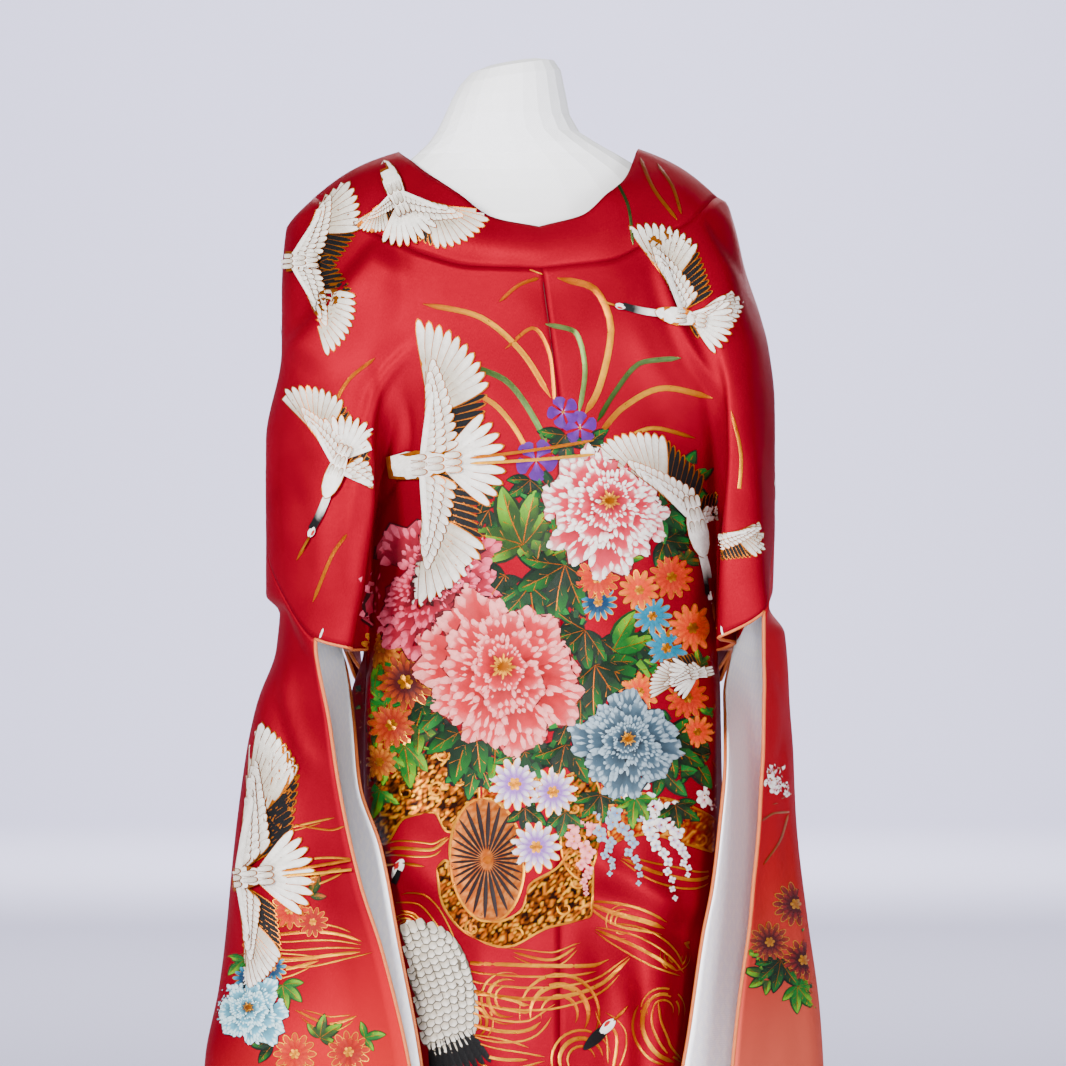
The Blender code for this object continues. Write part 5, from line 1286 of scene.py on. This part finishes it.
ROSE, DEEP_ROSE, PINK = dye("BE3452"), dye("7C142E"), dye("D8566E")
SALMON, CORAL, BLUSH = dye("D24A58"), dye("A81224"), dye("F2B4B0")
SLATE, POWDER, FROST = dye("35444F"), dye("6E838F"), dye("B4C2C9")
peony_silk, flower_silk, flower_gold = Threadwork(), Threadwork(), Threadwork()
for place, radius, outer, inner, tip in (
    (seen(-0.028, 0.974, 20), 0.084, CORAL, SALMON, BLUSH),
    (seen(0.074, 1.142), 0.066, dye("A81A38"), PINK, WHITE),
    (seen(-0.099, 1.058), 0.071, DEEP_ROSE, dye("B8385A"), dye("E58A9C")),
    (seen(0.092, 0.905), 0.050, SLATE, POWDER, FROST),
    (seen(-0.285, 0.638), 0.037, SLATE, dye("8CC0CE"), dye("D5E8EA")),
    (worn(left, left.body, 0.9, 1.72), 0.075, CORAL, SALMON, BLUSH),
    (worn(right, right.body, 1.7, 1.86), 0.080, DEEP_ROSE, ROSE, WHITE),
    (worn(left, left.body, 1.6, 2.05), 0.070, SLATE, POWDER, FROST),
    (worn(right, right.body, 0.9, 2.45), 0.085, CORAL, SALMON, WHITE),
    (worn(left, left.body, 1.9, 2.62), 0.080, DEEP_ROSE, ROSE, BLUSH),
    (worn(left, left.body, 14.4, 1.72), 0.060, CORAL, SALMON, BLUSH),
    (worn(right, right.body, 14.5, 1.80), 0.060, DEEP_ROSE, ROSE, WHITE),
    (worn(left, left.body, 14.8, 2.35), 0.070, DEEP_ROSE, ROSE, WHITE),
    (worn(right, right.body, 14.7, 2.30), 0.070, CORAL, SALMON, BLUSH),
    (worn(left, left.sleeve_surface, 7.0, 0.93), 0.052, CORAL, SALMON, BLUSH),
    (worn(right, right.sleeve_surface, 7.0, 0.90), 0.052, DEEP_ROSE, ROSE, WHITE),
    (worn(left, left.sleeve_surface, 9.0, 0.72), 0.056, DEEP_ROSE, ROSE, WHITE),
    (worn(right, right.sleeve_surface, 9.0, 0.70), 0.056, CORAL, SALMON, BLUSH),
    (worn(left, left.body, 11.0, 0.80), 0.045, CORAL, SALMON, BLUSH),
    (worn(right, right.body, 11.0, 0.76), 0.045, SLATE, POWDER, FROST),
):
    peony(peony_silk, flower_gold, place, radius, outer, inner, tip)
peony_silk.sew("peony_silk", silk_thread)

TANGERINE, RUSSET, MAROON, BURNT = dye("DE6428"), dye("A9471F"), dye("6E2430"), dye("C9501F")
APRICOT, OCHRE, STRAW, RUST = dye("F0A04A"), dye("A9652A"), dye("D39A48"), dye("C43A14")
EMBER, FLAME, TEAL, BRICK = dye("B43210"), dye("D8641E"), dye("24607F"), dye("CC501A")
ROSEWOOD = dye("A8433E")
TURQUOISE, SKY, VIOLET, LILAC = dye("1D9BB0"), dye("5FB6CE"), dye("7C3E9C"), dye("B48BCB")
# Daisies on the back: x, z in millimetres, turn, radius in millimetres, petals, base, tip and rings
for x, z, turn, radius, count, base, tip, rings in (
        (62, 1072, 0, 22, 13, BURNT, TANGERINE, 2), (104, 1060, 10, 20, 12, TANGERINE, APRICOT, 1),
        (136, 1073, 20, 22, 13, BURNT, TANGERINE, 2), (157, 1022, 0, 24, 13, TANGERINE, dye("EE8A44"), 2),
        (104, 958, 0, 20, 12, TANGERINE, APRICOT, 2), (152, 952, 0, 21, 12, BURNT, TANGERINE, 2),
        (162, 918, 0, 17, 12, TANGERINE, APRICOT, 1), (63, 1048, 12, 19, 14, TEAL, SKY, 1),
        (117, 1034, 0, 20, 12, TURQUOISE, SKY, 1), (131, 1002, 14, 22, 12, TURQUOISE, SKY, 1),
        (-129, 968, 0, 30, 15, MAROON, dye("C06B34"), 2), (-153, 1002, 0, 21, 13, OCHRE, STRAW, 2),
        (-143, 925, 8, 24, 13, RUSSET, dye("C9743B"), 2), (-155, 888, 0, 19, 12, OCHRE, STRAW, 2),
        (-20, 866, 0, 27, 13, LILAC, WHITE, 2), (18, 858, 9, 25, 13, LILAC, WHITE, 2),
        (1, 803, 0, 26, 13, LILAC, WHITE, 2), (-245, 740, 0, 19, 12, RUST, FLAME, 2),
        (-222, 728, 12, 15, 12, EMBER, BRICK, 1), (-275, 705, 0, 17, 12, EMBER, FLAME, 2),
        (-262, 682, 8, 14, 12, TEAL, SKY, 1), (-240, 596, 0, 21, 12, RUST, FLAME, 2),
        (-186, 598, 8, 21, 12, EMBER, BRICK, 2), (260, 746, 0, 22, 14, MAROON, ROSEWOOD, 2),
        (234, 708, 9, 20, 13, MAROON, dye("B05A40"), 2), (268, 690, 4, 21, 13, dye("5E1C2A"), ROSEWOOD, 2),
        (-288, 672, 0, 14, 12, TEAL, SKY, 1)):
    place = seen(x / 1000, z / 1000, turn)
    daisy(flower_silk, flower_gold, place, radius / 1000, count, base, tip, rings)
for side in (left, right):
    for guide, row, radius, k in (
            (0.6, 1.55, 0.024, 0), (1.9, 1.62, 0.022, 1), (1.2, 2.02, 0.026, 2), (0.4, 2.12, 0.024, 1),
            (2.3, 2.10, 0.024, 0), (0.7, 2.62, 0.030, 2), (1.7, 2.80, 0.028, 0), (2.5, 2.50, 0.028, 1),
            (0.3, 2.85, 0.026, 0), (13.7, 1.70, 0.022, 1), (14.7, 1.62, 0.022, 0), (14.2, 2.12, 0.026, 2),
            (13.8, 2.55, 0.028, 0), (15.5, 2.50, 0.024, 1), (15.4, 1.80, 0.018, 0)):
        base, tip = ((BURNT, APRICOT), (TURQUOISE, SKY), (LILAC, WHITE))[k]
        daisy(flower_silk, flower_gold, worn(side, side.body, guide, row), radius, 13, base, tip, 2)
    for guide, row, radius, k in ((6.6, 0.86, 0.020, 0), (7.5, 0.84, 0.018, 1), (8.6, 0.86, 0.022, 2),
                                  (9.4, 0.84, 0.020, 0), (8.6, 0.62, 0.018, 1), (9.3, 0.58, 0.020, 0)):
        base, tip = ((BURNT, APRICOT), (TURQUOISE, SKY), (LILAC, WHITE))[k]
        place = worn(side, side.sleeve_surface, guide, row)
        daisy(flower_silk, flower_gold, place, radius, 13, base, tip, 2)
for place, radius in ((seen(0.028, 1.238, 20), 0.016), (seen(0.045, 1.222), 0.017),
                      (seen(0.001, 1.190, 40), 0.021)):
    bellflower(flower_silk, flower_gold, place, radius, VIOLET, dye("A46CC4"))
flower_silk.sew("flower_silk", silk_thread)
flower_gold.sew("flower_gold", gold_thread)

# ---- Foliage: leaves worked as two halves in two greens, with a midrib and veins of gold thread. Hanging
# wisteria and small blossom sprigs, in silk with gold dots, fill in between the blooms.
LEAF, DARK_LEAF, LIME, MOSS = dye("28883F"), dye("124A28"), dye("8CBA30"), dye("4C6C34")
BRONZE, AMBER, UMBER, CRIMSON = dye("8A5A22"), dye("B87424"), dye("4A2A16"), dye("B3121E")
SAGE, OLIVE, PERIWINKLE, SHELL_PINK = dye("93A878"), dye("8C9C6C"), dye("8FA6D0"), dye("E7A9BC")


def leaf(silk, gold, place, start, angle, length, width, light, dark, layer, bend):
    """One leaf: two halves of slanting stitches that meet at a thin couched midrib, over a darker, slightly
    larger copy that paints shade round its edge.
    """
    start = np.asarray(start)
    # Painted shade: a darker, slightly larger copy of the leaf under it shows as a dark edge.
    silk.blade(place, start, angle, length * 1.03, width * 1.06, (dark * 0.35, dark * 0.35), bend=bend,
               form="leaf", layer=layer - 0.6, crown=0.0)
    for k, tints in ((1, (dark, dark, light, light)), (-1, (dark, dark, dark, light))):
        away = np.array([-np.sin(np.radians(angle)), np.cos(np.radians(angle))]) * k * width * 0.02
        silk.blade(place, start + away, angle + k * 9, length * 0.98, width * 0.58, tints,
                   bend=bend - k * 18, form="leaf", layer=layer, crown=0.0007)
    gold.blade(place, start, angle, length * 0.86, width * 0.045, (AMBER, GOLD), bend=bend, form="line",
               layer=layer + 2.2, grid=BUD)
    for k in (-1, 1):
        for at in (0.34, 0.58):
            turn = np.radians(angle + bend * at / 2)
            way = np.array([np.cos(turn), np.sin(turn)])
            gold.blade(place, start + way * length * at, angle + k * 38, length * 0.18, width * 0.028,
                       (AMBER, GOLD), form="line", layer=layer + 2.0, grid=BUD)


def spray(silk, gold, place, size, count, light, dark):
    """A fan of leaves from one stem."""
    order = sorted(range(count), key=lambda i: -abs(i - (count - 1) / 2))
    for rank, i in enumerate(order):
        turn = (i - (count - 1) / 2) * 150 / max(count - 1, 1)
        length = size * (1 - 0.28 * abs(turn) / 90) * rng.uniform(0.9, 1.08)
        leaf(silk, gold, place, (0, 0), turn, length, length * 0.46, light, dark, layer=1 + 0.5 * rank,
             bend=rng.uniform(-22, 22))


leaf_silk, leaf_gold = Threadwork(), Threadwork()
GREENS = ((LEAF, DARK_LEAF), (LIME, LEAF), (dye("3D9A55"), dye("1C6039")), (LIME, MOSS), (AMBER, MOSS))
# Sprays on the back: x, z in millimetres, turn, size in millimetres, leaves, pair of greens
for x, z, turn, size, count, k in (
        (-55, 1135, 150, 46, 4, 0), (-68, 1150, 60, 42, 4, 0), (-12, 1105, 120, 62, 5, 3),
        (30, 1085, 250, 60, 5, 0), (-5, 1065, 275, 58, 5, 2), (18, 1120, 20, 50, 4, 1),
        (100, 1180, 70, 42, 4, 0), (122, 1140, 0, 46, 4, 2), (130, 1110, 320, 40, 4, 0),
        (50, 1020, 230, 52, 5, 0), (60, 985, 300, 64, 5, 0), (78, 1000, 350, 56, 4, 1),
        (45, 950, 200, 50, 4, 2), (130, 905, 10, 48, 5, 0), (128, 880, 330, 40, 4, 2),
        (-60, 925, 240, 60, 5, 0), (-85, 945, 190, 52, 4, 2), (30, 905, 280, 52, 4, 0),
        (-10, 898, 265, 50, 4, 2), (-40, 905, 300, 44, 4, 1), (10, 925, 90, 40, 3, 0),
        (-160, 960, 110, 36, 4, 1), (-158, 925, 200, 36, 4, 3), (-150, 895, 250, 36, 4, 1),
        (-135, 1005, 60, 34, 3, 3), (-115, 925, 290, 36, 4, 3), (-155, 860, 240, 34, 4, 1),
        (88, 1090, 90, 26, 3, 1), (150, 1090, 60, 24, 3, 4), (165, 985, 30, 24, 3, 3),
        (125, 985, 230, 24, 3, 1), (84, 965, 200, 26, 3, 4), (175, 935, 60, 22, 3, 1),
        (30, 1215, 250, 34, 4, 0), (52, 1205, 330, 34, 4, 0), (-5, 1170, 250, 32, 4, 0),
        (22, 1190, 90, 30, 3, 2), (-10, 842, 300, 30, 4, 0), (30, 838, 240, 30, 4, 2),
        (65, 855, 260, 34, 4, 0), (100, 852, 280, 32, 4, 1), (140, 845, 300, 30, 4, 0),
        (-46, 1140, 200, 50, 5, 0), (-30, 1075, 240, 56, 5, 0), (2, 1085, 60, 50, 4, 3),
        (46, 1060, 200, 52, 5, 2), (66, 1010, 280, 52, 5, 0), (52, 972, 330, 50, 5, 2),
        (98, 1010, 300, 44, 4, 0), (-106, 960, 250, 50, 5, 0), (34, 930, 320, 46, 5, 0),
        (-56, 892, 250, 46, 5, 2), (12, 884, 90, 40, 4, 0), (152, 900, 340, 50, 5, 0),
        (-138, 985, 200, 40, 4, 1), (-130, 905, 280, 42, 5, 1), (-148, 945, 160, 34, 4, 1),
        (140, 1165, 20, 44, 5, 0), (112, 1178, 100, 38, 4, 2), (18, 1150, 140, 44, 4, 2),
        (-265, 720, 200, 26, 4, 4), (-225, 755, 60, 24, 3, 4), (-290, 690, 240, 24, 4, 1),
        (-252, 665, 300, 28, 4, 1), (-305, 655, 200, 28, 4, 0), (-215, 612, 60, 28, 4, 3),
        (-262, 605, 150, 30, 4, 0), (-170, 612, 20, 22, 3, 1), (245, 690, 260, 34, 5, 0),
        (262, 664, 300, 30, 5, 1), (232, 676, 200, 26, 4, 3), (276, 718, 20, 24, 3, 0),
        (275, 735, 320, 26, 4, 2), (235, 700, 220, 30, 4, 3), (270, 690, 280, 30, 4, 0)):
    light, dark = GREENS[k]
    spray(leaf_silk, leaf_gold, seen(x / 1000, z / 1000, turn), size / 1000, count, light, dark)
for side in (left, right):
    for surface, spots in ((side.body, (
            (0.4, 1.66, 40), (1.4, 1.74, 200), (2.2, 1.86, 120), (0.5, 1.92, 250), (1.5, 1.98, 20),
            (2.4, 2.3, 80), (0.6, 2.28, 300), (1.3, 2.52, 160), (2.2, 2.66, 220), (0.9, 2.74, 70),
            (13.6, 1.85, 80), (14.6, 1.95, 260), (14.0, 2.3, 150), (14.9, 2.6, 60), (13.7, 2.75, 240),
            (15.4, 2.2, 90))), (side.sleeve_surface, (
            (6.5, 0.80, 60), (7.4, 0.92, 150), (8.5, 0.78, 100), (9.3, 0.66, 250), (8.8, 0.93, 20)))):
        for n, (guide, row, turn) in enumerate(spots):
            light, dark = GREENS[n % 4]
            spray(leaf_silk, leaf_gold, worn(side, surface, guide, row, turn), 0.055, 5, light, dark)

# Wisteria and small blossom sprigs
for x, z, long, base, tip in (
        (0.108, 0.858, 0.120, dye("A9B4DE"), WHITE), (0.086, 0.862, 0.105, PERIWINKLE, FROST),
        (0.128, 0.845, 0.080, dye("C9A7D6"), WHITE), (0.066, 0.850, 0.080, PERIWINKLE, FROST),
        (0.168, 0.868, 0.055, SHELL_PINK, WHITE), (0.182, 0.880, 0.050, SHELL_PINK, WHITE),
        (0.048, 0.826, 0.075, dye("D97A94"), BLUSH), (0.232, 0.880, 0.036, SHELL_PINK, WHITE),
        (0.100, 0.870, 0.060, PERIWINKLE, WHITE)):
    place = seen(x, z, -76 + 200 * (x - 0.1))
    for i in range(13):
        along, away = long * i / 13, rng.uniform(-1, 1) * 0.013 * (1.1 - i / 13)
        reach = 0.0085 * (1.15 - i / 15)
        for turn in range(0, 360, 90):
            leaf_silk.blade(place, (along, away), turn + 37 * i, reach, reach * 0.85, (base, tip, tip),
                            form="drop", layer=3 + 0.3 * i, crown=0.0003, grid=BUD)
        leaf_gold.blade(place, (along, away), 37 * i, reach * 0.3, reach * 0.26, (GOLD, PALE_GOLD),
                        form="drop", layer=8, grid=BUD)
# Short white basting stitches at the shoulders and over the sleeve tops
for x, z, turn in ((-0.221, 1.455, 62), (0.181, 1.460, 118), (-0.215, 1.012, 70), (0.188, 1.014, 100)):
    leaf_silk.blade(seen(x, z), (0, 0), turn, 0.010, 0.0018, (WHITE, WHITE), form="line", layer=3, grid=BUD)
leaf_silk.sew("leaf_silk", silk_thread)
leaf_gold.sew("leaf_gold", gold_thread)

# ---- Gold work: couched grasses across the back, then a fan wheel, brocade clouds of glittering gold and
# brown thread, and running water in lines of couched gold that part, swell and curl.
gold_work, dark_work = Threadwork(), Threadwork()
# Grasses: points x, z and the width in millimetres, and the threads along them
for path, width, tints in (
        (((-112, 1346), (-60, 1335), (-15, 1300), (16, 1252)), 5.5, (AMBER, PALE_GOLD, GOLD)),
        (((-70, 1286), (-30, 1270), (0, 1230), (12, 1205)), 6, (MOSS, SAGE, MOSS)),
        (((-74, 1264), (-40, 1245), (-16, 1215), (-4, 1190)), 5, (GOLD, PALE_GOLD, AMBER)),
        (((-30, 1301), (-2, 1322), (16, 1290), (20, 1242)), 3.6, (AMBER, GOLD, GOLD)),
        (((10, 1326), (40, 1318), (50, 1280), (44, 1236)), 5, (OLIVE, OLIVE)),
        (((22, 1372), (58, 1362), (76, 1320), (64, 1262), (50, 1236)), 6.6, (AMBER, GOLD, PALE_GOLD, GOLD)),
        (((-36, 1348), (-14, 1366), (4, 1372)), 3.6, (AMBER, AMBER)),
        (((146, 1292), (108, 1288), (80, 1258), (62, 1228)), 5.2, (SAGE, MOSS)),
        (((178, 1252), (130, 1262), (90, 1244), (64, 1216)), 5.8, (GOLD, PALE_GOLD, AMBER)),
        (((160, 1212), (118, 1222), (84, 1206), (62, 1186)), 4, (AMBER, PALE_GOLD, AMBER)),
        (((-238, 1090), (-214, 1134), (-205, 1160)), 3.4, (GOLD, AMBER)),
        (((-222, 1048), (-202, 1096), (-188, 1116)), 3.4, (GOLD, AMBER)),
        (((-206, 1232), (-188, 1268), (-160, 1292)), 3.6, (GOLD, AMBER)),
        (((-218, 1460), (-206, 1478), (-186, 1490)), 3, (GOLD, AMBER)),
        (((105, 1492), (118, 1462), (142, 1430)), 3.4, (AMBER, GOLD)),
        (((82, 1468), (94, 1440), (98, 1405)), 3, (MOSS, OLIVE)),
        (((122, 1486), (138, 1462), (146, 1436)), 3, (AMBER, GOLD)),
        (((196, 1240), (206, 1190), (202, 1140)), 3.4, (AMBER, PALE_GOLD)),
        (((228, 785), (246, 812), (253, 836)), 2.2, (AMBER, GOLD)),
        (((226, 829), (240, 837), (254, 838)), 2.2, (AMBER, GOLD)),
        (((-276, 830), (-245, 826), (-205, 820), (-190, 824)), 2.2, (AMBER, GOLD))):
    gold_work.ribbon(seen(0, 0), np.array(path) / 1000, width / 1000, tints, layer=2)


def fan_wheel(place, wide, tall, spokes):
    """A fan wheel: dark spokes on a copper ground, with a gold rim and hub."""
    around = np.linspace(0, 2 * np.pi, 25)
    rim = np.column_stack([np.cos(around) * wide, np.sin(around) * tall])
    for start in range(0, 24, 6):
        gold_work.ribbon(place, rim[start:start + 7], wide * 0.07, (GOLD, PALE_GOLD), layer=5)
    for i in range(spokes):
        turn = 2 * np.pi * i / spokes
        reach = 1 / np.hypot(np.cos(turn) / wide, np.sin(turn) / tall)
        way = np.array([np.cos(turn), np.sin(turn)])
        dark_work.blade(place, way * reach * 0.16, np.degrees(turn), reach * 0.80, reach * 2.2 / spokes,
                        (dye("3A1A10"), dye("4A2414")), form="drop", layer=4, grid=FEATHER)
    gold_work.blade(place, (-wide * 0.12, 0), 0, wide * 0.24, wide * 0.22, (AMBER, GOLD), form="drop",
                    layer=5)
    gold_work.patch(place, rim[:-1:2], 0.003, (dye("C98A4E"), dye("D9A066"), dye("C07C3C")), layer=2)


def scrolls(place, spots, size, tints):
    """Coils of couched thread, as on drifting cloud and foam."""
    for x, z in spots:
        turn = np.linspace(rng.uniform(0, 6), 8.5, 11)
        coil = np.array([x, z]) + (size * np.linspace(1, 0.15, 11))[:, None] * np.column_stack(
            [np.cos(turn), np.sin(turn)])
        gold_work.ribbon(place, coil, size * 0.26, tints, layer=4)


GLITTER = (BRONZE, AMBER, GOLD, PALE_GOLD, UMBER, UMBER, dye("2A160E"), BRONZE)


def cloud(place, outline, tints, curls=()):
    """A bank of glittering cloud with a couched gold edge: its outline and its curls in millimetres."""
    scrolls(place, np.array(curls) / 1000, 0.0085, (PALE_GOLD, GOLD))
    edge = gold_work.patch(place, np.array(outline) / 1000, 0.0024, tints, layer=1.4, crown=0.0006)
    for start in range(0, 48, 8):
        rim = edge[np.arange(start, start + 9) % 48]
        gold_work.ribbon(place, rim, 0.0024, (GOLD, PALE_GOLD, AMBER), layer=3.5)


def band(place, path, count, spacing, width):
    """Running water: lines that leave one point, swell apart and meet again."""
    knots = np.linspace(0, 1, len(path))
    rows = [(knot, *spot) for knot, spot in zip(knots, path)]
    s = np.linspace(0, 1, 12)
    middle = smooth(rows, s)
    way = smooth(rows, np.clip(s + 0.02, 0, 1)) - smooth(rows, np.clip(s - 0.02, 0, 1))
    across_way = np.column_stack([-way[:, 1], way[:, 0]]) / np.linalg.norm(way, axis=1)[:, None]
    for i in range(count):
        off = (i - (count - 1) / 2) * spacing * (0.25 + np.sin(np.pi * s ** 0.9))
        first, last = rng.integers(0, 3), 12 - rng.integers(0, 3)
        line = (middle + across_way * off[:, None])[first:last]
        gold_work.ribbon(place, line, width * (1.2 if i % 3 == 1 else 0.65),
                         (AMBER, GOLD, PALE_GOLD, GOLD), layer=1.5)


def eddy(place, at, radius, turn, way=1):
    """Crescents one inside another, where the water turns."""
    for i in range(3):
        reach = radius * (1 - 0.27 * i)
        a = np.radians(turn - way * 90)
        start = np.asarray(at) + reach * np.array([np.cos(a), np.sin(a)])
        gold_work.blade(place, start, turn, reach * 3.9, radius * (0.15 if i % 2 else 0.09),
                        (AMBER, GOLD, PALE_GOLD, GOLD), bend=way * 225, form="leaf", layer=1.6, grid=LINE)


# Clouds and water on the back: points x, z, spacing, width and radius in millimetres
back = seen(0, 0)
low_left, low_right = seen(0, 0, inside=(-0.152, 1), slope=0.19), seen(0, 0, inside=(-1, 0.177), slope=-0.10)
fan_wheel(seen(-0.048, 0.790, 4), 0.037, 0.062, 30)
cloud(back, ((-98, 782), (-94, 752), (-70, 718), (-30, 703), (12, 722), (56, 736),
             (58, 782), (38, 800), (22, 782), (-6, 764), (-12, 742), (-40, 728),
             (-74, 748), (-88, 790)), GLITTER,
      curls=((-62, 722), (-20, 718), (30, 742), (44, 768)))
cloud(back, ((-166, 912), (-142, 924), (-108, 914), (-78, 924), (-56, 892), (-56, 850),
             (-86, 818), (-102, 838), (-130, 832), (-150, 806), (-168, 812)), GLITTER,
      curls=((-146, 898), (-118, 888), (-90, 896), (-128, 858), (-98, 860), (-152, 842),
             (-74, 872), (-156, 868)))
cloud(back, ((-50, 918), (-20, 905), (-16, 870), (-30, 846), (-52, 852)),
      (dye("B86A30"), dye("D9883F"), AMBER, BRONZE))
cloud(back, ((22, 870), (50, 880), (66, 850), (62, 800), (48, 770), (28, 790)),
      (MOSS, AMBER, UMBER, GOLD), curls=((40, 842), (46, 812)))
cloud(back, ((66, 868), (110, 856), (150, 846), (186, 822), (184, 796), (150, 806),
             (112, 816), (78, 808)), (AMBER, GOLD, PALE_GOLD, CRIMSON, CRIMSON, CRIMSON),
      curls=((100, 838), (134, 826), (166, 812)))
for path, count, spacing, width in (
        (((-168, 792), (-138, 802), (-106, 800), (-86, 812)), 3, 6, 2.8),
        (((-150, 745), (-122, 742), (-98, 716), (-78, 688)), 4, 9, 2.4),
        (((-112, 700), (-60, 668), (0, 662), (52, 668), (94, 694)), 5, 9, 3.2),
        (((-100, 668), (-60, 636), (-14, 628), (20, 646)), 5, 9, 3),
        (((-78, 612), (-36, 596), (10, 592)), 4, 8, 2.6),
        (((54, 746), (82, 736), (112, 728), (152, 712)), 3, 9, 4),
        (((60, 722), (98, 710), (130, 692), (148, 676)), 4, 8, 2.8),
        (((118, 660), (112, 628), (124, 600), (146, 586)), 4, 8, 3.6),
        (((-30, 700), (14, 690), (46, 706)), 3, 6, 2.2),
        (((86, 792), (126, 776), (160, 770), (184, 778)), 3, 8, 3),
        (((62, 640), (82, 610), (76, 570)), 3, 8, 2.4), (((-10, 1382), (12, 1374)), 1, 0, 2)):
    band(low_left if path[0][0] < 0 else low_right, np.array(path) / 1000, count, spacing / 1000,
         width / 1000)
for at, radius, turn, way in (
        ((24, 636), 40, 60, 1), ((-28, 652), 26, 200, -1), ((88, 728), 17, 150, 1), ((-64, 628), 22, 20, 1),
        ((128, 640), 22, 110, -1), ((140, 694), 15, 240, 1), ((46, 590), 30, 100, 1),
        ((-130, 722), 14, 30, 1)):
    eddy(low_left if at[0] < 0 else low_right, np.array(at) / 1000, radius / 1000, turn, way)

for path, count, spacing, width in (
        (((-276, 812), (-238, 822), (-200, 832)), 2, 3, 1.8),
        (((-258, 768), (-222, 778), (-178, 788)), 4, 7, 3.4),
        (((-292, 716), (-250, 704), (-205, 706), (-162, 702)), 6, 7, 2.6),
        (((-306, 690), (-262, 684), (-216, 690)), 4, 7, 2.4),
        (((-240, 640), (-205, 626), (-178, 634)), 3, 6, 2.2),
        (((236, 846), (262, 856), (276, 870)), 2, 4, 1.8)):
    band(back, np.array(path) / 1000, count, spacing / 1000, width / 1000)
for side, flip in ((left, 1), (right, -1)):
    for n, (guide, row, turn, long) in enumerate((
            (0.5, 1.62, 10, 0.20), (1.7, 1.70, -20, 0.20), (0.6, 2.0, 30, 0.24), (2.2, 2.0, -60, 0.22),
            (1.2, 2.18, 0, 0.26), (0.4, 2.5, 60, 0.28), (1.8, 2.4, 20, 0.28), (2.5, 2.75, -30, 0.26),
            (1.0, 2.88, 0, 0.30), (0.3, 2.75, 30, 0.24), (14.2, 1.95, 10, 0.18), (14.6, 2.4, -20, 0.22),
            (13.6, 2.2, 30, 0.22), (13.8, 2.7, 10, 0.24), (15.4, 2.6, 0, 0.12), (15.4, 1.5, 80, 0.12))):
        place = worn(side, side.body, guide, row, turn * flip)
        path = ((-long / 2, 0), (-long / 5, long * 0.09), (long / 6, -long * 0.06), (long / 2, long * 0.02))
        band(place, path, 5, 0.010, 0.0034)
        eddy(place, (long * 0.2, long * 0.16), 0.030, 60 * n, 1 if n % 2 else -1)
    for n, (guide, row, turn) in enumerate((
            (7.0, 0.66, 10), (9.0, 0.55, -10), (8.3, 0.74, 0), (6.6, 0.76, 0), (9.4, 0.86, 20))):
        place = worn(side, side.sleeve_surface, guide, row, turn * flip)
        band(place, ((-0.055, 0), (-0.020, 0.010), (0.022, -0.006), (0.055, 0.004)), 5, 0.007, 0.0026)
        eddy(place, (0.020, 0.022), 0.016, 70 * n)
seam = metres(CENTRE_BACK)
for ahead, behind in zip(seam[1:], seam[2:6]):
    dark_work.ribbon(back, ((ahead[1], ahead[0] - 0.004), (behind[1], behind[0] - 0.004)), 0.0010,
                     (dye("6A0A12"), dye("8A1218")), layer=1)
gold_work.sew("gold_work", gold_thread)
dark_work.sew("fan_spokes", silk_thread)
